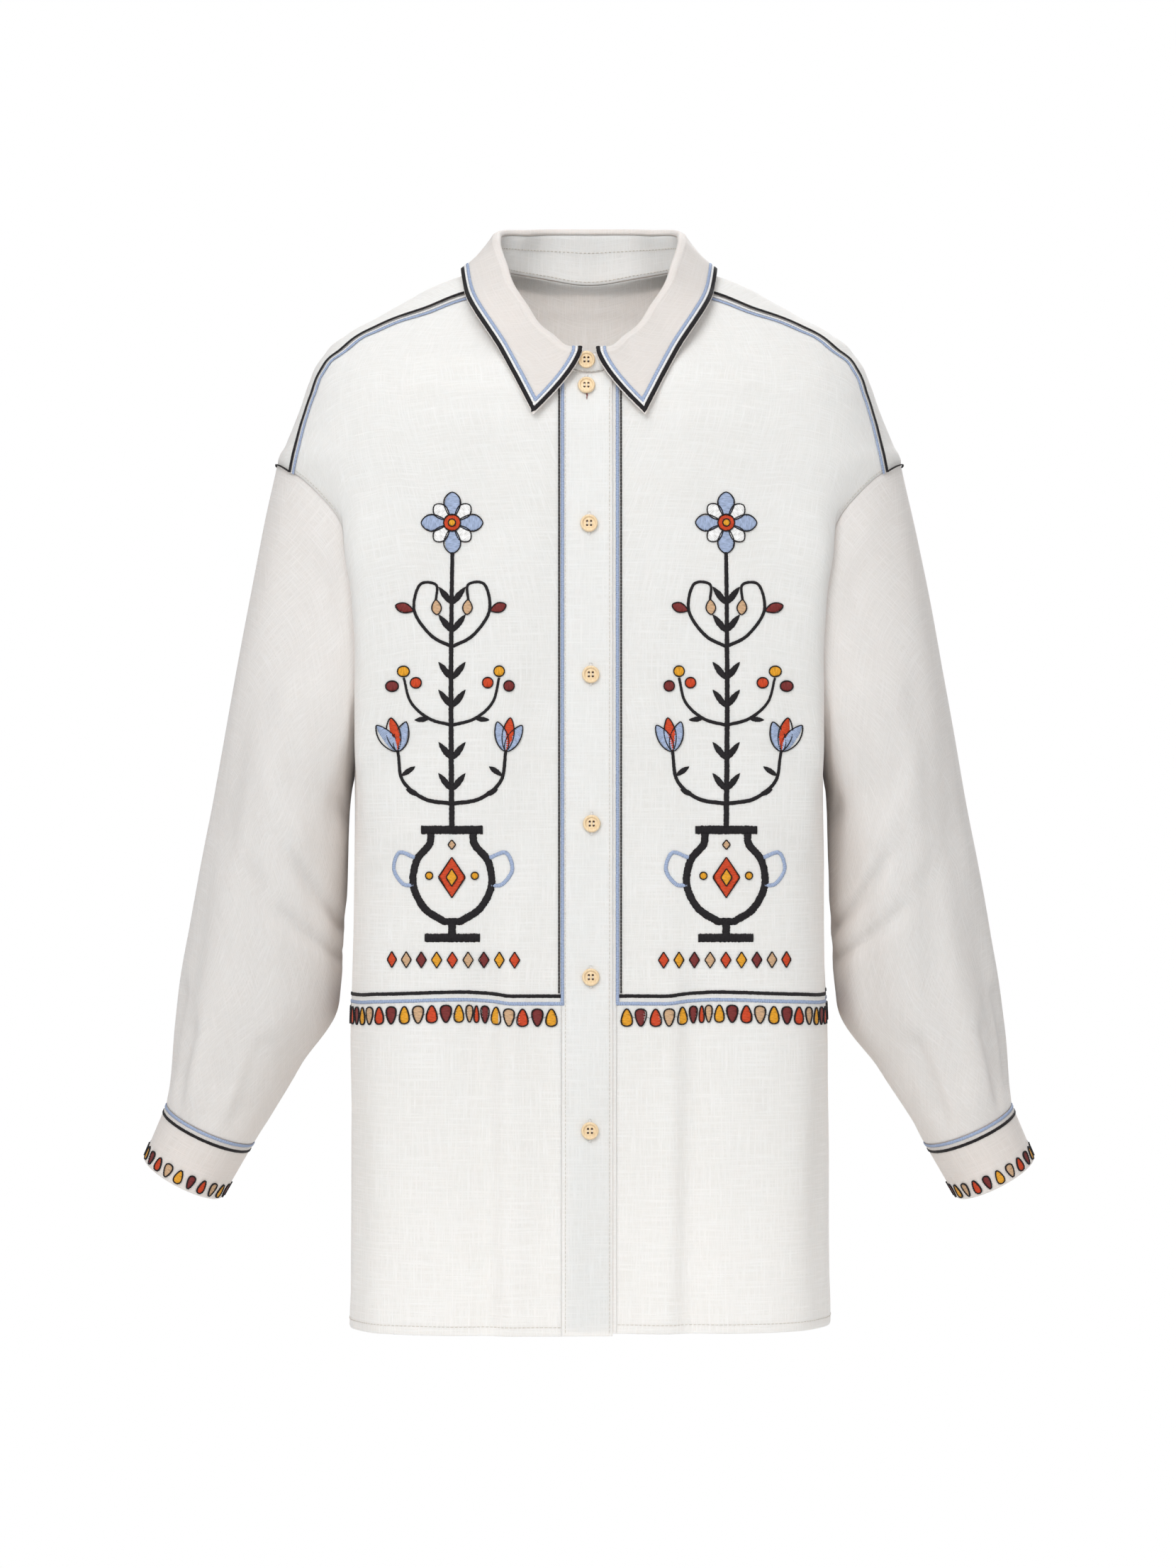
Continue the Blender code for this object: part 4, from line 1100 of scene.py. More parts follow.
# %% The collar as functions
def collar_line(table, angle):
    """A line of the collar by its angle round the neck; a negative angle is at -X.

    The second row is mirrored in front of the first, so that the line is smooth at the nape.
    """
    stations, across, forward, below = columns(table)
    stations, across = np.r_[-stations[1], stations], np.r_[-across[1], across]
    forward, below = np.r_[forward[1], forward], np.r_[below[1], below]
    size, side = np.abs(angle), np.where(angle < 0, -1, 1)
    x, y, z = [eased(size, stations, value) for value in (across, -forward, -below)]
    return np.stack([side * x, y, z], axis=-1)


def stand_line(table, angle):
    """The stand's foot or top, set back where the left end laps under the right one."""
    if table is None:
        line = neck(np.abs(angle))
        line[..., 0] *= np.where(angle < 0, -1, 1)
    else:
        line = collar_line(table, angle)
    set_back = np.array([0.0, 1.0, 0.0]) * lap_at(line[..., 0])[..., None]
    return np.where((angle > 90)[..., None], line + set_back, line)


def stand_frame(angle):
    """The stand's foot and top, and its ways up and out."""
    foot, top = stand_line(None, angle), stand_line(STAND_TOP, angle)
    up = unit(top - foot)
    along = stand_line(STAND_TOP, angle + 0.5) - stand_line(STAND_TOP, angle - 0.5)
    return foot, top, up, facing(unit(np.cross(along, up)), top * (1, 1, 0))


def stand_at(share, angle):
    """foot + share (top - foot), bulging by a half sine."""
    foot, top, _, out = stand_frame(angle)
    bulge = np.sin(math.pi * share) * STAND_BULGE
    return foot + share[..., None] * (top - foot) + bulge[..., None] * out, out


def fall_start(angle):
    """Where the fall leaves its roll, the middle of its curve and its edge."""
    _, top, up, out = stand_frame(angle)
    start = top + out * ROLL_OUT + up * ROLL_UP
    edge = collar_line(FALL_EDGE, angle)
    bend = start + out * BEND_OUT - up * BEND_DOWN + (edge - start) * BEND_SHARE
    return start, bend, edge


def fall_at(share, angle):
    """(1-t)^2 start + 2 t (1-t) bend + t^2 edge, and the way out."""
    def curve(t, turn):
        start, bend, edge = fall_start(turn)
        t = t[..., None]
        return (1 - t) ** 2 * start + 2 * t * (1 - t) * bend + t * t * edge

    share, angle = np.broadcast_arrays(share, angle)
    round_it = curve(share, angle + ANGLE_NUDGE) - curve(share, angle - ANGLE_NUDGE)
    down = curve(share + FALL_NUDGE, angle) - curve(share - FALL_NUDGE, angle)
    outwards = stand_frame(angle)[-1] + (0, 0, 0.5)
    return curve(share, angle), facing(unit(np.cross(round_it, down)), outwards)


tip = fall_at(np.array([1.0]), np.array([FALL_ENDS]))[0][0]
print("a tip of the collar lies at", np.round(tip, 3).tolist())

# %% [markdown]
# Both grids use the same angles, set closer at the front. The fall is one smooth sheet from the
# inside of the stand, over the roll and down to its edge, so it is drawn through all those rows.

# %% Make the collar
STAND_ROWS, LYING_ROWS, FALL_ROWS = 11, 14, 52


def smooth_rows(rows, count):
    """A Catmull-Rom curve through whole rows of points."""
    padded = np.concatenate([2 * rows[:1] - rows[1:2], rows, 2 * rows[-1:] - rows[-2:-1]])
    at = np.linspace(0, len(rows) - 1, count)
    i = np.minimum(at.astype(int), len(rows) - 2)
    t = (at - i)[:, None, None]
    a, b, c, d = (padded[i + k] for k in range(4))
    return 0.5 * (2 * b + (c - a) * t + (2 * a - 5 * b + 4 * c - d) * t**2
                  + (3 * b - a - 3 * c + d) * t**3)


def both_ways(angles):
    """The angles on both sides of the nape, with two more beside each end."""
    return crowded(np.r_[-angles[::-1][:-1], angles][:, None], 0)[:, 0]


half_angles = np.r_[np.linspace(0, YOKE_MEETS_NECK, 44),
                    np.linspace(YOKE_MEETS_NECK, FALL_ENDS, 40)[1:]]
stand_angles = both_ways(np.r_[half_angles, np.linspace(FALL_ENDS, BAND_ENDS, 9)[1:]])
stand_rows = crowded(np.linspace(0, 1, STAND_ROWS)[:, None], 0)
points, ways = stand_at(*np.broadcast_arrays(stand_rows, stand_angles[None]))
place_sheet("collar_stand", points, ways, DOUBLE_WALL, LINEN_DOUBLE)

fall_angles = both_ways(half_angles)
_, top, up, out = stand_frame(fall_angles)
inside = top - out * DOUBLE_WALL
rolled = np.array([inside - up * 0.0002, inside - out * 0.0004 + up * 0.0022,
                   top + out * 0.0004 + up * ROLL_TOP])
lying = fall_at(np.linspace(0, 1, LYING_ROWS)[:, None], fall_angles[None])[0]
points = crowded(smooth_rows(np.concatenate([rolled, lying]), FALL_ROWS), 0)
ways = unit(np.cross(np.gradient(points, axis=1), np.gradient(points, axis=0)))
ways = ways * np.sign(np.sum(ways[-10] * out))
place_sheet("collar_fall", points, ways, COLLAR_WALL, LINEN_COLLAR_CUFF_SHADE)

# %% [markdown]
# ## Thread
#
# Embroidery is thread that lies on the cloth. Painted stripes would look flat from the side, so
# every stitch here is a small solid. Satin stitch lays threads side by side across a shape: it
# is made as a raised strip whose height and edges wobble from thread to thread. Its finish has
# fine ridges across the strip, and a shade that differs a little from thread to thread.


# %% Thread finishes
THREAD, STATION_STEP = 0.00036, 0.0007


def thread(name, colour, roughness=0.5):
    """Ridges of one thread's width along the strip, and noise between two shades."""
    made, tree, shader, flat, (across, _) = new_finish(name, roughness, 0.04)
    feed(tree, shader, "Specular IOR Level", 0.2)
    shade = between(tree, stretched_noise(tree, flat, 2100, 260, 1.0), 0.32, 0.68)
    dark = tuple(0.72 * part for part in colour)
    light = tuple(min(1.18 * part + 0.004, 1.0) for part in colour)
    feed(tree, shader, "Base Color", blended(tree, shade, dark, light))
    raise_by(tree, shader, yarn_wave(tree, across, THREAD), 0.5, 0.00012)
    return made


THREADS = {
    "black": thread("black_thread", (0.012, 0.01, 0.012), 0.6),
    "blue": thread("blue_grey_thread", (0.35, 0.43, 0.61)),
    "white": thread("white_thread", (0.9, 0.89, 0.87)),
    "mustard": thread("mustard_thread", (0.76, 0.345, 0.022)),
    "maroon": thread("maroon_thread", (0.19, 0.028, 0.026)),
    "red": thread("red_thread", (0.6, 0.062, 0.016)),
    "tan": thread("tan_thread", (0.6, 0.385, 0.225)),
    # Darker than the cloth: the thread's own colour plus painted shade of the needle holes.
    "sewing": thread("sewing_thread_and_hole_shade", (0.7, 0.645, 0.57), 0.7),
}
print("threads:", ", ".join(THREADS))

# %% [markdown]
# Thousands of stitches as thousands of objects would be slow. Stitches of one colour and place
# are piled up as arrays first, and each pile becomes one mesh. Whether a strip's faces point
# outwards is settled by its volume: a closed shape that is inside out has a negative one.

# %% Piles of stitches
PILES = {}
DICE = np.random.default_rng(31)


def turned_out(points, faces):
    """The faces of a closed shape, turned round if the volume inside them is negative."""
    a, b, c, d = (points[faces[:, k]] for k in range(4))
    volume = np.sum(a * np.cross(b, c)) + np.sum(a * np.cross(c, d))
    return faces if volume > 0 else faces[:, ::-1]


def pile_up(name, points, faces, flat):
    """Add a closed shape to a pile."""
    PILES.setdefault(name, []).append((points, turned_out(points, faces), flat))


def ring_faces(stations, sides):
    """Faces round a tube of rings, with its two ends closed by rows of four-sided faces."""
    round_it = strips(closed_round(numbered(stations, sides)))
    k = np.arange(sides // 2 - 1)
    cap = np.stack([k, k + 1, sides - 2 - k, sides - 1 - k], axis=-1)
    return np.concatenate([round_it, cap, cap[:, ::-1] + (stations - 1) * sides])


def directions(line):
    """The direction of a line at each of its points, from the points on either side."""
    return unit(np.gradient(line, axis=0))


print("faces of a tube of 3 rings:", len(ring_faces(3, 4)))

# %% [markdown]
# Satin stitch is a strip with a low, rounded section. Where its line turns a corner the strip gets
# wider there, as a mitre does, so that its outer side isn't cut short.

# %% Satin stitch
NARROW = np.array([(-1, 0.1), (-0.6, 0.92), (0.6, 0.92), (1, 0.1), (0.5, -0.6), (-0.5, -0.6)])
BROAD = np.array([(-1, 0.05), (-0.78, 0.72), (-0.3, 1.0), (0.3, 1.0), (0.78, 0.72), (1, 0.05),
                  (0.5, -0.5), (-0.5, -0.5)])
LOW_SATIN, HIGH_SATIN = 0.0006, 0.0007
SHARP, LONGEST_MITRE, FULL_HEIGHT_FROM, LOW_THREAD = 1.15, 2.1, 0.0007, 0.8


def mitred(line, length, at, half):
    """Where the line turns sharply, a ring on the corner, wider by 1 / cos(half the turn)."""
    steps = unit(np.diff(line, axis=0))
    turned = np.sum(steps[:-1] * steps[1:], axis=-1)
    wider = np.minimum(1 / np.sqrt(np.maximum((1 + turned) / 2, 0.01)), LONGEST_MITRE)
    for k in np.flatnonzero(wider > SHARP):
        ring_there = np.abs(at - length[k + 1]).argmin()
        at[ring_there] = length[k + 1]
        half[ring_there] *= wider[k]
    return at, half


def satin(name, line, ways, half_width, height=LOW_SATIN, profile=NARROW, ragged=0.1):
    """line + side * half width * u + way out * height * v, round a profile of (u, v)."""
    length = along_axis(line, 0)
    count = 2 * max(4, int(round(length[-1] / (2 * STATION_STEP))))
    at = np.linspace(0, length[-1], count + 1)
    half = np.interp(at, length, np.broadcast_to(half_width, length.shape))
    at, half = mitred(line, length, at, half)
    line, ways = read_line(line, length, at), unit(read_line(ways, length, at))
    side = unit(np.cross(directions(line), ways))
    up_down = np.where(np.arange(count + 1) % 2 == 0, 1.0, LOW_THREAD)
    wobble = 1 + ragged * DICE.uniform(-1, 1, (count + 1, 2))
    u = profile[None, :, 0] * np.where(profile[None, :, 0] < 0, wobble[:, :1], wobble[:, 1:])
    across = u * half[:, None]
    v = profile[None, :, 1] * np.where(profile[None, :, 1] > 0, up_down[:, None], 1.0)
    raised = v * height * np.minimum(1, half / FULL_HEIGHT_FROM)[:, None]
    points = line[:, None] + side[:, None] * across[..., None] + ways[:, None] * raised[..., None]
    flat = joined(at[:, None], across)
    faces = ring_faces(count + 1, len(profile))
    pile_up(name, points.reshape(-1, 3), faces, flat.reshape(-1, 2))


print("sides of a narrow and a broad strip:", len(NARROW), len(BROAD))

# %% [markdown]
# A single stitch is a short tube of four rings with four sides. Its ends are thinner and lie below
# the cloth, so a row of them reads as thread that goes in and out.

# %% Single stitches
STITCH_SHARES = np.array([0.0, 0.2, 0.8, 1.0])
STITCH_GIRTHS = np.array([0.35, 1.0, 1.0, 0.35])
STITCH_LIFTS = np.array([-0.5, 0.55, 0.55, -0.5])
STITCH_SIDES = 4


def stitches(name, line, ways, pitch=0.003, length=0.0024, radius=0.00024):
    """Short tubes along a line; both ends of each dip into the cloth."""
    walked = along_axis(line, 0)
    count = max(1, int(walked[-1] / pitch))
    pitch = walked[-1] / count
    starts = (np.arange(count) + 0.5) * pitch - length / 2
    at = np.clip(starts[:, None] + STITCH_SHARES * length, 0, walked[-1])
    middle, out = read_line(line, walked, at), unit(read_line(ways, walked, at))
    run = unit(middle[:, -1] - middle[:, 0])[:, None]
    side = unit(np.cross(run, out))
    middle = middle + out * (STITCH_LIFTS * radius)[:, None]
    round_it = (np.arange(STITCH_SIDES) + 0.5) * 2 * math.pi / STITCH_SIDES
    girth = (STITCH_GIRTHS * radius)[None, :, None, None]
    spokes = (np.cos(round_it)[:, None] * side[:, :, None] + np.sin(round_it)[:, None]
              * out[:, :, None])
    points = middle[:, :, None] + girth * spokes
    one = ring_faces(len(STITCH_SHARES), STITCH_SIDES)
    step = len(STITCH_SHARES) * STITCH_SIDES
    faces = (one[None] + step * np.arange(count)[:, None, None]).reshape(-1, 4)
    flat = joined(at[..., None], 0.0003 * np.cos(round_it))
    pile_up(name, points.reshape(-1, 3), faces, flat.reshape(-1, 2))


print("points of a stitch:", len(STITCH_SHARES) * STITCH_SIDES)

# %% [markdown]
# When a part of the design is finished, its piles become pieces in the colours of their names.


# %% From piles to pieces
def make_piles():
    """One piece from each pile, in the colour that its name ends with."""
    for name in list(PILES):
        heap, offset, faces = PILES.pop(name), 0, []
        for points, some, _ in heap:
            faces.append(some + offset)
            offset += len(points)
        points, flat = (np.concatenate([part[k] for part in heap]) for k in (0, 2))
        faces, colour = np.concatenate(faces), name.rsplit("_", 1)[1]
        mesh_piece(name, points, faces, flat[faces], THREADS[colour])
        print(f"{name}: {2 * len(faces)} triangles")


# %% [markdown]
# ## Where on the cloth
#
# An embroiderer measures along the cloth. So a design is drawn in two lengths: how far round the
# body from the middle of the front, and how high. A table of walked lengths turns the first
# into a turn, and from there the cloth's own function gives the place.

# %% Places on the body
QUARTER = 0.25
LEVELS = np.linspace(-0.742, -0.07, 120)
ROUND = np.linspace(-math.pi, math.pi, 1441)
WALKED = along_axis(body(math.pi / 2 - ROUND[None], LEVELS[:, None]), 1)
WALKED = WALKED - WALKED[:, len(ROUND) // 2][:, None]
PLACES = np.linspace(-0.52, 0.52, 1041)
TURNS = np.array([np.interp(PLACES, walked, ROUND) for walked in WALKED])


def turn_at(place, z):
    """The turn after walking that far round the body, read between four table entries."""
    row = np.clip((z - LEVELS[0]) / (LEVELS[1] - LEVELS[0]), 0, len(LEVELS) - 1.001)
    column = np.clip((place - PLACES[0]) / (PLACES[1] - PLACES[0]), 0, len(PLACES) - 1.001)
    i, j = row.astype(int), column.astype(int)
    v, u = row - i, column - j
    low = (1 - u) * TURNS[i, j] + u * TURNS[i, j + 1]
    high = (1 - u) * TURNS[i + 1, j] + u * TURNS[i + 1, j + 1]
    return math.pi / 2 - ((1 - v) * low + v * high)


def half_way_round(side, z):
    """The length from the middle of the front to the middle of the back."""
    return float(np.interp(z, LEVELS, WALKED[:, -1 if side > 0 else 0]))


def on_the_body(path):
    """Points and ways out for a path of (place, z); a place above 0 is on the left side."""
    place, z = path[..., 0], path[..., 1]
    return cloth_at(turn_at(place, z), z, 0.0, (place > 0) & (place < QUARTER))


def through(corners, count=24):
    """A smooth Catmull-Rom line through corners, given as (x, y)."""
    corners = np.array(corners, float)
    if len(corners) == 2:
        return evenly(corners, count)
    return smooth_rows(corners[:, None], count * (len(corners) - 1))[:, 0]


print("hem from front to back in mm:", round(1000 * half_way_round(1, -0.74)))

# %% [markdown]
# ## Lines round the fronts
#
# On each front a thin black rope and a blue-grey satin line run down beside the button bands.
# At the bottom the blue line turns a corner and goes round the body, with a broad black line
# above it and a row of seeds below. The whole border rises a little where the front bows out.

# %% Border lines
BLUE_PLACES, ROPE_PLACES = (-0.0183, 0.01955), (-0.0206, 0.0219)
LINES_START, BORDER_BLACK, BORDER_BLUE = -0.083, -0.5082, -0.5134
BLUE_HALF, BLACK_HALF = 0.00118, 0.00122
WHITE_BELOW, WHITE_BESIDE, ROPE_STOPS = 0.0022, 0.00095, 0.0018
# The next ones are a stitch's pitch, length and radius.
WHITE_STITCH, ROPE_STITCH = (0.0016, 0.0008, 0.0002), (0.0024, 0.0028, 0.00076)
ROPE_WHITE_STITCH, SHOULDER_STITCH = (0.0024, 0.0009, 0.0002), (0.0027, 0.0028, 0.00065)
RISE_PLACES = np.array([0.0, 0.05, 0.064, 0.078, 0.088, 0.1, 0.119, 0.134, 0.15, 0.18,
                        0.26, 0.6])
RISES = np.array([0.0, 0.0, 0.0012, 0.0023, 0.0027, 0.0025, 0.0018, 0.0012, 0.0006, -0.0005,
                  0.0, 0.0])


def rise(place):
    """How far the border rises at a place, read from the table."""
    return eased(np.abs(place), RISE_PLACES, RISES)


for side, blue, rope in zip((-1, 1), BLUE_PLACES, ROPE_PLACES):
    back = half_way_round(side, BORDER_BLUE)
    level = np.linspace(blue, back, 420)
    down = joined(blue, np.linspace(LINES_START, BORDER_BLUE, 200))
    corner = np.concatenate([down, joined(level, BORDER_BLUE + rise(level))[1:]])
    satin("lines_blue", *on_the_body(corner), BLUE_HALF)
    level = np.linspace(blue + side * BLUE_HALF, back, 420)
    path = joined(level, BORDER_BLACK + rise(level))
    satin("lines_black", *on_the_body(path), BLACK_HALF, HIGH_SATIN)
    stitches("lines_white", *on_the_body(path - (0, WHITE_BELOW)), *WHITE_STITCH)
    path = joined(rope, np.linspace(LINES_START, BORDER_BLACK + ROPE_STOPS, 200))
    stitches("lines_black", *on_the_body(path), *ROPE_STITCH)
    stitches("lines_white", *on_the_body(path - (side * WHITE_BESIDE, 0)), *ROPE_WHITE_STITCH)
print("piles so far:", ", ".join(PILES))

# %% [markdown]
# The yoke's front seam carries the same three colours, and where it ends a single black line
# runs over the dropped shoulder along the armhole. Paths that start as points are turned back
# into places on the body, so that they follow the soft cloth too.

# %% Lines on the yoke seams
SEAM_LINES = (
    # pile, away from the seam at the neck and at the armhole, half width, above the cloth
    ("seams_blue", 0.007, 0.0032, 0.00125, 0.0006),
    ("seams_white", 0.0041, 0.002, 0.00065, 0.0006),
    ("seams_black", 0.0, 0.0, 0.0014, 0.0013),
)
SHOULDER_ABOVE = 0.001


def on_the_cloth(points, above=0.0004):
    """The soft cloth nearest to points of the smooth body, and a little above it."""
    spots = on_body(points)
    return cloth_at(spots[..., 0], spots[..., 1], above)


seam = yoke_front_seam(240)
towards_front = unit(np.cross(directions(seam), body_ways_out(*on_body(seam).T)))
towards_front = towards_front * np.sign(-towards_front[:, 2:].sum())
over_shoulder = armhole(np.linspace(YOKE_FRONT_TURN, YOKE_BACK_TURN, 160))
for flip in (RIGHT, LEFT):
    for name, first, last, half, above in SEAM_LINES:
        shift = np.linspace(first, last, len(seam))[:, None] * towards_front
        satin(name, *on_the_cloth((seam + shift) * flip, above), half)
    stitches("seams_black", *on_the_cloth(over_shoulder * flip, SHOULDER_ABOVE), *SHOULDER_STITCH)
print("length of a front seam in mm:", round(1000 * float(along_axis(seam, 0)[-1])))

# %% [markdown]
# ## The row of seeds
#
# The seeds stand point up and point down by turns, in four colours. A seed is one satin strip
# from top to bottom whose width swells and shrinks, so its threads lie level, as they would be
# sewn. Near the middle of each front some are narrow, because the cloth turns away there.

# %% Seeds of the border
SEED_COLOURS = ("mustard", "maroon", "red", "tan")
SEED_TOP, SEED_HEIGHT, SEED_HALF = -0.517, 0.0118, 0.0037
SEED_ACROSS = (0.0258, 0.0354, 0.0456, 0.0547, 0.0639, 0.0714, 0.0769, 0.0817, 0.0891, 0.098,
               0.1077, 0.1171)
SEED_SIZES = (1.0, 1.0, 1.0, 0.94, 0.92, 0.66, 0.42, 0.6, 0.84, 1.0, 0.98, 1.0)
SEED_PITCH = 0.0097
OUTLINE_PITCH, OUTLINE_LENGTH, OUTLINE_RADIUS, OUTLINE_AWAY = 0.0016, 0.0022, 0.00062, 0.0002
GLINT_PLACE, GLINT_STITCH, THINNEST = 0.62, (0.0016, 0.0006, 0.00028), 0.0003
LINK_PITCH, LINK_LENGTH, LINK_RADIUS = 0.01, 0.9 * SEED_PITCH, 0.00013
SWELL_AT = np.array([0.0, 0.04, 0.12, 0.25, 0.4, 0.56, 0.72, 0.86, 0.95, 1.0])
SWELLS = np.array([0.08, 0.24, 0.42, 0.64, 0.82, 0.95, 1.0, 0.9, 0.64, 0.2])


def seed(name, colour, where, middle, height, half, point_up, lit_side=1):
    """One seed with its outline and a painted highlight of white stitches on its lit side; where
    turns (across, down) into points and ways out.
    """
    t = np.linspace(0, 1, 28)
    swell = eased(t, SWELL_AT, SWELLS)[:: 1 if point_up else -1]
    line = joined(middle, (t - 0.5) * height)
    half_widths = np.maximum(half * swell, THINNEST)
    satin(f"{name}_{colour}", *where(line), half_widths, HIGH_SATIN, BROAD)
    edge = joined(half * swell + OUTLINE_AWAY, 0.0)
    points, ways = where(np.concatenate([line + edge, (line - edge)[::-1], (line + edge)[:1]]))
    stitches(f"{name}_black", points + ways * OUTLINE_AWAY, ways, OUTLINE_PITCH, OUTLINE_LENGTH,
             OUTLINE_RADIUS)
    # White stitches along the lit side of the seed: a painted highlight.
    glint = line[6:-4] + (GLINT_PLACE * half * lit_side, 0)
    stitches(f"{name}_white", *where(glint), *GLINT_STITCH)


def border_place(path):
    """(place, down) below the border line, on the body."""
    height = SEED_TOP - SEED_HEIGHT / 2 + rise(path[..., 0])
    return on_the_body(joined(path[..., 0], height - path[..., 1]))


def place_at(across, z):
    """The place of a point of the front that lies at x = across."""
    level = np.clip(np.searchsorted(LEVELS, z), 1, len(LEVELS) - 1)
    turn = front_turn(across, z)
    return np.interp(math.pi / 2 - turn, ROUND, WALKED[level])


for side in (-1, 1):
    places = list(place_at(side * np.array(SEED_ACROSS), SEED_TOP - SEED_HEIGHT / 2))
    sizes = list(SEED_SIZES)
    end = half_way_round(side, SEED_TOP)
    still_to_go = abs(end) - abs(places[-1])
    more = int(still_to_go / SEED_PITCH)
    pitch = still_to_go / (more + 0.5)
    places += [places[-1] + side * pitch * (k + 1) for k in range(more)]
    sizes += list(DICE.uniform(0.92, 1.02, more))
    for k, (place, size) in enumerate(zip(places, sizes)):
        seed("seeds", SEED_COLOURS[k % 4], border_place, place, SEED_HEIGHT * (0.97 + 0.03 * size),
             SEED_HALF * size, k % 2 == 0, side)
        if k:
            between_them = np.linspace(places[k - 1] + side * SEED_HALF * sizes[k - 1],
                                       place - side * SEED_HALF * size, 5)
            path = joined(between_them, 0.0005 * np.linspace(-1, 1, 5))
            stitches("links_black", *border_place(path), LINK_PITCH, LINK_LENGTH, LINK_RADIUS)
    print("seeds on one side:", len(places), "last at mm", round(1000 * float(places[-1])))

# %% [markdown]
# The cuffs carry the same border. Round a cuff we measure by its own two lengths: down from the
# seam, and round from the outer side.

# %% Borders of the cuffs
CUFF_LENGTH, CUFF_ROUND, CUFF_SEEDS = 0.0434, 0.239, 22
CUFF_BLUE, CUFF_BLACK, CUFF_WHITE, CUFF_LINE_HALF = 0.001, 0.0056, 0.0032, 0.00112
CUFF_SEED_TOP, CUFF_SEED_HEIGHT, CUFF_SEED_HALF = 0.0315, 0.0098, SEED_HALF * 0.92
CUFF_WHITE_STITCH, FIRST_SEED, FIRST_COLOUR = (0.0014, 0.0007, 0.00016), 0.35, 3


def on_the_cuff(path, flip):
    """(round, down) in metres on a cuff."""
    points, ways = cuff_at(path[..., 1] / CUFF_LENGTH, path[..., 0] / CUFF_ROUND * 2 * math.pi)
    return points * flip, ways * flip


def cuff_seed_place(path, flip):
    """(round, down) below the cuff's border line, on a cuff."""
    down = CUFF_SEED_TOP + CUFF_SEED_HEIGHT / 2 + path[..., 1]
    return on_the_cuff(joined(path[..., 0], down), flip)


level = np.linspace(0, CUFF_ROUND, 200)
for flip in (LEFT, RIGHT):
    for name, down in (("cuffs_blue", CUFF_BLUE), ("cuffs_black", CUFF_BLACK)):
        satin(name, *on_the_cuff(joined(level, down), flip), CUFF_LINE_HALF)
    stitches("cuffs_white", *on_the_cuff(joined(level, CUFF_WHITE), flip), *CUFF_WHITE_STITCH)
    for k in range(CUFF_SEEDS):
        middle = (k + FIRST_SEED) * CUFF_ROUND / CUFF_SEEDS
        half, turned = CUFF_SEED_HALF * DICE.uniform(0.78, 1.0), k + FIRST_COLOUR
        seed("cuff_seeds", SEED_COLOURS[turned % 4], lambda path: cuff_seed_place(path, flip),
             middle, CUFF_SEED_HEIGHT, half, turned % 2 == 0)
print("seeds on a cuff:", CUFF_SEEDS)

# %% [markdown]
# ## Bands of the collar
#
# Three satin bands follow the fall's edge and turn at its points. A band keeps its distance d
# from the edge when its share of the way down is 1 - d / (length down x sine of the corner).
# Along the front edge the same holds for the angle. Where the two rules meet is the mitre.

# %% Collar bands
COLLAR_BANDS = (
    # colour, distance of its middle from the edge, half width
    ("black", 0.002, 0.00152),
    ("white", 0.00432, 0.00088),
    ("blue", 0.00638, 0.00115),
)
FRONT_EDGE_TOP = 0.02


def reach_of(share, angle, share_step, angle_step):
    """Metres for a whole share and for a degree, and the sine of the angle between them."""
    down = fall_at(share + share_step, angle)[0] - fall_at(share - share_step, angle)[0]
    round_it = fall_at(share, angle + angle_step)[0] - fall_at(share, angle - angle_step)[0]
    down, round_it = down / (2 * share_step), round_it / (2 * angle_step)
    lengths = np.linalg.norm(down, axis=-1), np.linalg.norm(round_it, axis=-1)
    sine = np.linalg.norm(np.cross(down, round_it), axis=-1) / (lengths[0] * lengths[1])
    return *lengths, sine


def band_path(away):
    """Share and angle along the left half: down the front edge, then back along the edge."""
    share = np.linspace(FRONT_EDGE_TOP, 1.0, 60)
    angle = np.linspace(FALL_ENDS, 0.0, 160)
    _, degree, sine = reach_of(share, np.full(60, FALL_ENDS - 0.5), 0.01, 0.25)
    front_angle = FALL_ENDS - away / (degree * sine)
    whole, _, sine = reach_of(np.full(160, 0.985), np.minimum(angle, FALL_ENDS - 0.5), 0.01, 0.25)
    edge_share = 1 - away / (whole * sine)
    front_share = np.linspace(FRONT_EDGE_TOP, edge_share[0], 60)
    front = joined(front_share, np.interp(front_share, share, front_angle))
    kept = angle < front[-1, 1] - 0.2
    return np.concatenate([front, joined(edge_share[kept], angle[kept])])


def roll_crest(angle):
    """The highest line of the roll, and the way out of the cloth there."""
    _, top, up, out = stand_frame(angle)
    return top + out * 0.0008 + up * ROLL_TOP, unit(up + 0.15 * out)


for colour, away, half in COLLAR_BANDS:
    path = band_path(away)
    path = np.concatenate([path, (path * (1, -1))[::-1][1:]])
    points, ways = fall_at(path[:, 0], path[:, 1])
    crest, crest_ways = roll_crest(path[[0, -1], 1])
    points = np.concatenate([crest[:1], points, crest[1:]])
    ways = np.concatenate([crest_ways[:1], ways, crest_ways[1:]])
    satin(f"collar_{colour}", points, ways, half, 0.00062, BROAD, 0.07)
make_piles()

# %% [markdown]
# ## Topstitching
#
# Plain seams are held down by a row of machine stitches close beside them. Their thread is nearly
# the colour of the cloth, made a little darker as painted shade of the needle holes, and shows as a
# row of small dents and dashes.

# %% Rows of topstitching
HEM_STITCH, BAND_STITCHES, SEAM_STITCH = 0.0062, (0.014, -0.0163), 0.0024
STAND_STITCH_HEIGHT, STAND_STITCH, BAND_STITCHES_END = 0.018, (0.003, 0.002), -0.09


def topstitch(points, ways, *sizes):
    """A row of machine stitches in the sewing thread."""
    stitches("topstitch_sewing", points, ways, *sizes)


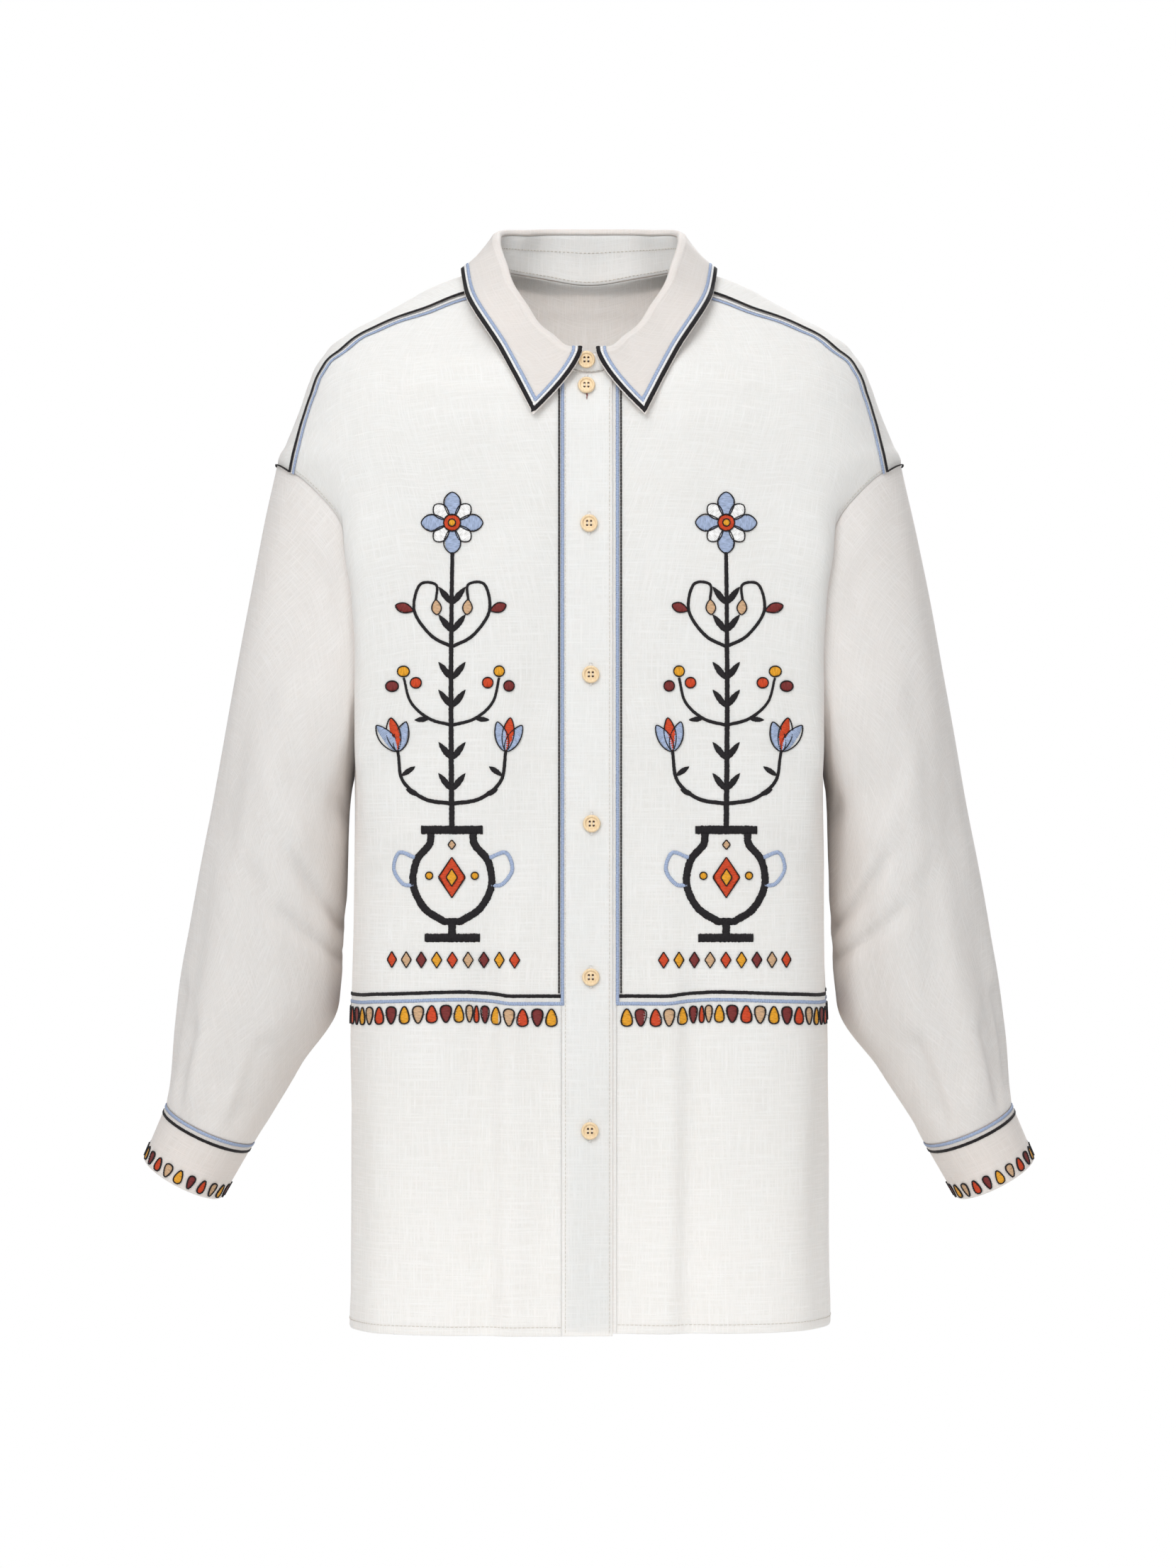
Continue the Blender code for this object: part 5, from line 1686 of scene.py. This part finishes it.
for hem, grid, under in ((HEM_RIGHT, FRONT_RIGHT, False), (HEM_LEFT, FRONT_LEFT, True),
                         (HEM_BACK, BACK, False)):
    turn = np.linspace(grid[0, 0, 0], grid[0, -1, 0], 300)
    topstitch(*cloth_at(turn, -hem + HEM_STITCH, 0.0, under))
z = np.linspace(-HEM_RIGHT + 0.002, BAND_STITCHES_END, 300)
for across in BAND_STITCHES:
    topstitch(*cloth_at(front_turn(across, z), z))
arm_middle = armhole(np.array([90.0])) * (1, 0, 1)
for flip in (RIGHT, LEFT):
    for start, end in ((YOKE_FRONT_TURN + 2, 172), (YOKE_BACK_TURN - 2, -172)):
        line = armhole(np.linspace(start, end, 300))
        away = unit(np.cross(directions(line), body_ways_out(*on_body(line).T)))
        away = away * np.sign(np.sum(away * (line - arm_middle)))
        spots = on_body((line + away * SEAM_STITCH) * flip)
        topstitch(*cloth_at(spots[:, 0], spots[:, 1], 0.0, False, SEAM_STITCH))
topstitch(*on_the_cloth(yoke_back_seam(400) + (0.0, 0.0, SEAM_STITCH)))

angle = np.linspace(-100, 100, 260)
foot, top, up, out = stand_frame(angle)
share = (STAND_STITCH_HEIGHT - foot[130, 2]) / (top[130, 2] - foot[130, 2])
line = foot + share * (top - foot) + out * (math.sin(math.pi * share) * STAND_BULGE - DOUBLE_WALL)
topstitch(line, -out, *STAND_STITCH, 0.00036)
topstitch(foot + up * 0.0022 - out * (DOUBLE_WALL - 0.0001), -out, *STAND_STITCH, 0.0003)
for last in (174, -BAND_ENDS + 2):
    topstitch(*stand_at(np.full(120, 0.07), np.linspace(math.copysign(104, last), last, 120)))
make_piles()

# %% [markdown]
# ## The picture on each front
#
# Above the border each front has a large embroidered picture. The one here is a plain tree of
# life, the design found on painted chests and aprons all over Europe: a footed jar, a straight
# stem, and branches in pairs. It is drawn in millimetres from the foot of the jar, as middle
# lines with a half width, because that is how an embroiderer fills a shape with satin stitch.

# %% Tools for the picture
PICTURE_MIDDLE, PICTURE_FOOT, SCALE = 0.094, -0.493, 0.00112
LEAF_LENGTH, LEAF_HALF, OUTLINE_HALF, STACKED = 13.5, 2.0, 0.46, 0.0007


def on_the_front(path, side):
    """(across, up) in mm of the picture, on one of the fronts."""
    path = np.asarray(path) * SCALE
    place = side * (PICTURE_MIDDLE + path[..., 0])
    return on_the_body(joined(place, PICTURE_FOOT + path[..., 1]))


def sewn(side, colour, corners, half, count=16):
    """A satin line through corners in mm; half is one number or one for each end."""
    path = through(corners, count)
    shares, given = np.linspace(0, 1, len(path)), np.linspace(0, 1, np.size(half))
    half = np.interp(shares, given, np.atleast_1d(half))
    satin(f"picture_{colour}", *on_the_front(path, side), half * SCALE, HIGH_SATIN)


def bulged(t, fullest):
    """sin(pi t^p)^0.7, whose greatest value lies at t = fullest."""
    return np.maximum(np.sin(math.pi * t ** (math.log(0.5) / math.log(fullest))), 0) ** 0.7


def filled_shape(side, colour, middle_line, half, outlined=True, lift=0.0):
    """Satin from end to end of a middle line, with black stitches round it."""
    middle_line = np.asarray(middle_line, float)
    points, ways = on_the_front(middle_line, side)
    points = points + ways * lift
    half_widths = np.maximum(half, 0.2) * SCALE
    satin(f"picture_{colour}", points, ways, half_widths, HIGH_SATIN, BROAD)
    if outlined:
        run = directions(middle_line)
        out = np.stack([-run[:, 1], run[:, 0]], axis=-1) * half[:, None]
        loop = np.concatenate([middle_line + out, (middle_line - out)[::-1],
                               (middle_line + out)[:1]])
        points, ways = on_the_front(loop, side)
        points = points + ways * (OUTLINE_AWAY + lift)
        stitches("picture_black", points, ways, OUTLINE_PITCH, OUTLINE_LENGTH,
                 OUTLINE_HALF * SCALE)


def petal(side, colour, root, way, length, half, fullest=0.6, outlined=True):
    """A petal or leaf from its root; way is in degrees from straight up, outwards."""
    t = np.linspace(0, 1, 24)
    way = math.radians(way)
    line = np.array(root) + (t * length)[:, None] * (math.sin(way), math.cos(way))
    filled_shape(side, colour, line, half * bulged(t, fullest), outlined)


def disc(side, colour, middle, radius, lift=0.0):
    """A round of satin stitch: half widths from the circle's own chord."""
    t = np.linspace(-1, 1, 24)
    line = np.array(middle) + (t * radius)[:, None] * (1.0, 0.0)
    filled_shape(side, colour, line, radius * np.sqrt(np.maximum(1 - t * t, 0)), True, lift)


def lozenge(side, colour, middle, half_across, half_up, lift=0.0):
    """A diamond: the half width falls straight from the middle to both ends."""
    t = np.linspace(-1, 1, 20)
    line = np.array(middle) + (t * half_up)[:, None] * (0.0, 1.0)
    filled_shape(side, colour, line, half_across * (1 - np.abs(t)), True, lift)


print("width of a picture in mm:", round(2 * 37 * 1000 * SCALE))

# %% [markdown]
# The jar stands on a row of diamonds. The stem rises through three pairs of branches: tulips
# lowest, berries in the middle, curled buds on top. A star of eight petals crowns it.

# %% The tree of life
DIAMONDS, DIAMOND_PITCH = 9, 9.6
JAR_LEVELS = (([(-17, 22), (17, 22)], 2.6), ([(0, 22), (0, 34)], 2.4),
              ([(-19, 88), (19, 88)], 2.6), ([(-6, 32), (6, 32)], 2.2))
JAR_SIDE = [(5, 32), (17, 40), (24, 54), (22, 69), (14, 79), (13, 86)]
HANDLE = [(23, 71), (33, 74), (37, 64), (31, 55), (24, 54)]
LEAF_LEVELS = (112, 131, 163, 180, 209, 226)
TULIP_STEM = [(0, 104), (17, 107), (30, 118), (33, 136)]
BERRY_STEM = [(0, 152), (14, 156), (25, 166), (29, 181)]
CURL_STEM = [(0, 200), (13, 207), (23, 222), (20, 238), (10, 238), (10, 228)]
BERRIES = (("mustard", 29, 185), ("red", 22, 178), ("maroon", 35, 176))
STAR_MIDDLE, STAR_PETAL, STAR_HALF = (0, 276), 19.0, 5.2


def mirrored_in(side_of_picture, corners):
    """The corners on one side of the stem."""
    return [(side_of_picture * x, y) for x, y in corners]


def tulip(side, root, lean):
    """Two blue outer petals with a red one between them."""
    for turn in (-24, 24):
        petal(side, "blue", root, lean + turn, 19, 3.9, 0.45)
    petal(side, "red", root, lean, 21, 3.6, 0.5)


def jar(side):
    """The foot, the body's outline, the rim, the handles and a lozenge on the belly."""
    for corners, half_width in JAR_LEVELS:
        sewn(side, "black", corners, half_width)
    for half in (1, -1):
        sewn(side, "black", mirrored_in(half, JAR_SIDE), 2.3)
        sewn(side, "blue", mirrored_in(half, HANDLE), 1.2)
        disc(side, "mustard", (half * 14, 60), 2.3)
    lozenge(side, "red", (0, 59), 8.5, 12.5)
    lozenge(side, "mustard", (0, 59), 3.6, 5.4, STACKED)
    lozenge(side, "tan", (0, 79), 2.6, 3.0)


def branches(side, half):
    """One side of the tree: a tulip, berries, a curl with two buds, and the leaves."""
    sewn(side, "black", mirrored_in(half, TULIP_STEM), (1.3, 1.0))
    tulip(side, (half * 33, 136), half * 8)
    petal(side, "black", (half * 20, 109), half * 65, 9, 1.7, 0.5, False)
    petal(side, "black", (half * 31, 121), half * -55, 10, 1.7, 0.5, False)
    sewn(side, "black", mirrored_in(half, BERRY_STEM), (1.1, 0.8))
    for colour, x, y in BERRIES:
        disc(side, colour, (half * x, y), 3.3)
    petal(side, "black", (half * 14, 156), half * 95, 9, 1.6, 0.5, False)
    sewn(side, "black", mirrored_in(half, CURL_STEM), (1.1, 0.8))
    petal(side, "tan", (half * 10, 229), half * 185, 9.5, 3.0, 0.55)
    petal(side, "maroon", (half * 23.5, 222), half * 70, 10.5, 3.0, 0.55)
    for level in LEAF_LEVELS:
        petal(side, "black", (0, level), half * 38, LEAF_LENGTH, LEAF_HALF, 0.45, False)


def tree(side):
    """The whole picture on one front."""
    for k in range(DIAMONDS):
        middle = ((k - (DIAMONDS - 1) / 2) * DIAMOND_PITCH, 8.5)
        lozenge(side, ("red", "mustard", "maroon", "tan")[k % 4], middle, 3.3, 5.0)
    jar(side)
    sewn(side, "black", [(0, 90), (0.6, 170), (0, 258)], (1.7, 1.5, 1.2))
    branches(side, 1)
    branches(side, -1)
    for k in range(8):
        petal(side, ("blue", "white")[k % 2], STAR_MIDDLE, 45 * k, STAR_PETAL - 3.5 * (k % 2),
              STAR_HALF - 0.9 * (k % 2), 0.66)
    disc(side, "red", STAR_MIDDLE, 5.2, STACKED)
    disc(side, "mustard", STAR_MIDDLE, 2.3, 2 * STACKED)


for side in (1, -1):
    tree(side)
make_piles()

# %% [markdown]
# ## Buttons
#
# A sewn button is turned on a lathe: a rim, a groove, a dished middle, and then four holes are
# drilled. Its height is a function of the distance from its middle, less a pit round each hole.
# The holes look dark because little light leaves them; that shade is painted on as dark brown.

# %% Buttons and buttonholes
BUTTONS = (
    # name, across, below
    ("button_stand", -0.002, 0.0708),
    ("button_1", -0.0018, 0.0893),
    ("button_2", 0.0, 0.1844),
    ("button_3", 0.0012, 0.288),
    ("button_4", 0.0018, 0.3901),
    ("button_5", 0.0012, 0.4951),
    ("button_6", 0.0006, 0.6002),
)
BUTTON_RADIUS, BUTTON_LIFT = 0.006, 0.0003
HOLE_PLACE, HOLE_RADIUS, HOLE_DEPTH = 0.00134, 0.00082, 0.0011
BUTTON_FACE = (
    # name, share of the radius, height
    ("middle", 0.0, 0.0017),
    ("dish", 0.52, 0.00175),
    ("foot of the groove", 0.6, 0.0016),
    ("groove", 0.66, 0.00165),
    ("inside of the rim", 0.74, 0.00255),
    ("rim", 0.84, 0.00275),
    ("shoulder", 0.95, 0.0023),
    ("edge", 1.0, 0.0014),
)
BUTTON_UNDER = np.array([(0.985, 0.0007), (0.9, 0.0001), (0.45, 0.0)])
BUTTON_SIDES, THREAD_LIFT = 96, 0.00168
print("buttons:", len(BUTTONS), "radius in mm:", 1000 * BUTTON_RADIUS)

# %% [markdown]
# The finish is cream with faint streaks, and dark brown inside the holes as painted shade. Its
# holes
# are found from the flat map: the length of a place from the nearest hole's middle says whether it
# lies inside.


# %% Finish and shape of a button
def button_finish():
    """Cream, a little darker in streaks, and dark brown painted shade within each hole's own
    radius.
    """
    made, tree, shader, flat, lengths = new_finish("cream_button", 0.34, 0.0)
    streaks = between(tree, stretched_noise(tree, flat, 900, 140), 0.3, 0.7)
    cream = blended(tree, streaks, (0.72, 0.53, 0.31), (0.83, 0.66, 0.43))
    across, up = [calc(tree, "SUBTRACT", calc(tree, "ABSOLUTE", length), HOLE_PLACE)
                  for length in lengths]
    away = calc(tree, "SQRT", weighted(tree, (across, across), (up, up)))
    # Dark brown within each hole's radius: painted shade.
    inside = between(tree, away, HOLE_RADIUS * 1.08, HOLE_RADIUS * 0.72)
    feed(tree, shader, "Base Color", blended(tree, inside, cream, (0.075, 0.028, 0.012)))
    return made


def button_grid():
    """Rings from the middle over the rim to the middle of the underside, (x, y, height)."""
    face = np.r_[np.linspace(0.0, 0.1, 3)[1:], np.linspace(0.1, 0.6, 24)[1:],
                 np.linspace(0.6, 1.0, 16)[1:]]
    share = np.r_[face, BUTTON_UNDER[:, 0]]
    lift = np.r_[eased(face, *columns(BUTTON_FACE)), BUTTON_UNDER[:, 1]]
    turn = full_turn(BUTTON_SIDES)
    x = share[:, None] * BUTTON_RADIUS * np.cos(turn)
    y = share[:, None] * BUTTON_RADIUS * np.sin(turn)
    away = np.hypot(np.abs(x) - HOLE_PLACE, np.abs(y) - HOLE_PLACE)
    pit = HOLE_DEPTH * ramp(-away, -HOLE_RADIUS * 1.05, -HOLE_RADIUS * 0.7)
    on_the_face = np.arange(len(share)) < len(face)
    return np.stack([x, y, lift[:, None] - pit * on_the_face[:, None]], axis=-1)


print("rings of a button:", len(button_grid()))

# %% [markdown]
# The grid is open at its two middles, so a fan of faces closes each. Two straight stitches join
# the holes, side by side.


# %% Make a button
def fan(centre, rim):
    """Four-sided faces from a centre to each two steps of a rim."""
    return np.stack([np.full(len(rim) // 2, centre), rim[0:-1:2], rim[1::2], rim[2::2]], axis=-1)


def make_button(name, place, out, finish):
    """The grid closed at both middles, turned so that its axis is the way out of the cloth."""
    grid = button_grid()
    side = unit(np.cross((0.0, 0.0, 1.0), out))
    up = np.cross(out, side)
    flat = np.concatenate([grid.reshape(-1, 3), [[0, 0, BUTTON_FACE[0][2]], [0, 0, 0.0]]])
    points = place + flat[:, :1] * side + flat[:, 1:2] * up + flat[:, 2:] * out
    index = closed_round(numbered(*grid.shape[:2]))
    top, bottom = len(points) - 2, len(points) - 1
    faces = np.concatenate([strips(index)[:, ::-1], fan(top, index[0]),
                            fan(bottom, index[-1])[:, [0, 3, 2, 1]]])
    faces = turned_out(points - place, faces)
    piece = mesh_piece(f"{name}_turned", points, faces, flat[faces][..., :2], finish)
    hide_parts(name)
    for across in (-HOLE_PLACE, HOLE_PLACE):
        line = place + across * side + np.linspace(-1, 1, 5)[:, None] * HOLE_PLACE * up
        stitches("button_thread_white", line + out * THREAD_LIFT, np.tile(out, (5, 1)), 0.0026,
                 0.0022, 0.00022)


CREAM = button_finish()
print("finish:", CREAM.name)

# %% [markdown]
# Six buttons sit on the wearer's right band, and the seventh on the stand. Each buttonhole is a
# pale upright bar that shows above and below its button. The first one is worked in maroon.


# %% Sew on the buttons
def front_spot(across, below, height=0.0):
    """A place on the right front band and its way out."""
    z = np.array([-below])
    points, ways = cloth_at(front_turn(np.array([across]), z), z, height)
    return points[0], ways[0]


def stand_spot(across, below):
    """A place on the stand's outer face near its right end, and its way out."""
    angle = -(180 - math.degrees(math.asin(-across / NECK_HALF_WIDTH)))
    foot, top, _, out = stand_frame(np.array([angle - 1, angle, angle + 1]))
    share = (-below - foot[1][2]) / (top[1][2] - foot[1][2])
    bulge = math.sin(math.pi * share) * STAND_BULGE
    return foot[1] + share * (top[1] - foot[1]) + out[1] * bulge, out[1]


for name, across, below in BUTTONS:
    spot = stand_spot if name == "button_stand" else front_spot
    place, out = spot(across, below)
    make_button(name, place + out * BUTTON_LIFT, out, CREAM)
    if name != "button_stand":
        z = np.linspace(-below - 0.008, -below + 0.008, 40)
        satin("buttonholes_white", *cloth_at(front_turn(across, z), z), 0.00085, 0.00035)
points, ways = zip(*[front_spot(BUTTONS[1][1] + 0.0003, BUTTONS[1][2] + step)
                     for step in np.linspace(0.0055, 0.0096, 9)])
satin("buttonholes_maroon", np.array(points), np.array(ways),
      np.linspace(0.0007, 0.00015, 9), 0.0008)
make_piles()

# %% [markdown]
# ## The stage
#
# The photograph was taken straight on, from far enough away that the blouse looks nearly flat,
# against pure white. A backdrop would stand in the way of a look from behind, so the white comes
# from the world, and there is only a pale floor below.

# %% Camera
CAMERA_PLACE = (-0.00075, -3.6, -0.363)
LENS = 117.2
camera_data = bpy.data.cameras.new("camera")
camera_data.lens, camera_data.sensor_width = LENS, 36.0
camera = placed("camera", camera_data)
camera.location, camera.rotation_euler = CAMERA_PLACE, (math.pi / 2, 0, 0)
bpy.context.scene.camera = camera
bpy.context.scene.view_settings.view_transform = "Standard"
print("camera:", CAMERA_PLACE, "lens in mm:", LENS)

# %% [markdown]
# Four soft lamps: the key on the left, a weak fill on the right, one behind for looks from the
# back, and a little from above for the shoulders.

# %% Lamps
LAMPS = (
    # name, place, size, watts
    ("key", (-0.9, -2.7, 1.45), 1.8, 64.0),
    ("fill", (1.2, -3.4, 0.5), 1.6, 25.0),
    ("rim", (0.6, 2.9, 1.3), 1.8, 74.0),
    ("top", (0.0, -0.5, 2.2), 1.2, 8.0),
)
LAMPS_AIM = -0.35
for name, place, size, watts in LAMPS:
    lamp = bpy.data.lights.new(name, "AREA")
    lamp.size, lamp.energy = size, watts
    holder = placed(name, lamp)
    x, y, z = np.array(place) - (0.0, 0.0, LAMPS_AIM)
    holder.location = place
    holder.rotation_euler = (math.atan2(math.hypot(x, y), z), 0.0, math.atan2(x, -y))


print("lamps:", len(LAMPS))

# %% [markdown]
# The world is white where the camera sees it and dimmer as a light, so that folds keep a shade.

# %% World
WHITE, SEEN_STRENGTH, LIT_STRENGTH = (1, 1, 1, 1), 1.0, 0.46
world = bpy.data.worlds.new("studio")
world.use_nodes = True
bpy.context.scene.world = world
sky = world.node_tree
seen, lit = [node(sky, "ShaderNodeBackground", {"Color": WHITE, "Strength": strength}).outputs[0]
             for strength in (SEEN_STRENGTH, LIT_STRENGTH)]
ray = node(sky, "ShaderNodeLightPath", {}).outputs["Is Camera Ray"]
either = node(sky, "ShaderNodeMixShader", {0: ray, 1: lit, 2: seen}).outputs[0]
feed(sky, sky.nodes["World Output"], 0, either)
print("world light:", LIT_STRENGTH)

# %% [markdown]
# A pale round floor lies well below the hem. It is stage, so it isn't part of the blouse.

# %% Floor
FLOOR_LEVEL, FLOOR_REACH, FLOOR_SIDES = -1.16, 1.5, 96
turn = full_turn(FLOOR_SIDES)
rim = np.stack([FLOOR_REACH * np.cos(turn), FLOOR_REACH * np.sin(turn),
                np.full(FLOOR_SIDES, FLOOR_LEVEL)], axis=-1)
floor_mesh = bpy.data.meshes.new("floor")
floor_mesh.from_pydata(rim.tolist(), [], [list(range(FLOOR_SIDES))])
floor_finish = bpy.data.materials.new("pale_floor")
floor_finish.use_nodes = True
floor_tree = floor_finish.node_tree
feed(floor_tree, floor_tree.nodes["Principled BSDF"], "Base Color", (0.86, 0.86, 0.85, 1))
feed(floor_tree, floor_tree.nodes["Principled BSDF"], "Roughness", 0.9)
floor_mesh.materials.append(floor_finish)
floor = placed("floor", floor_mesh)
print("floor at", FLOOR_LEVEL)
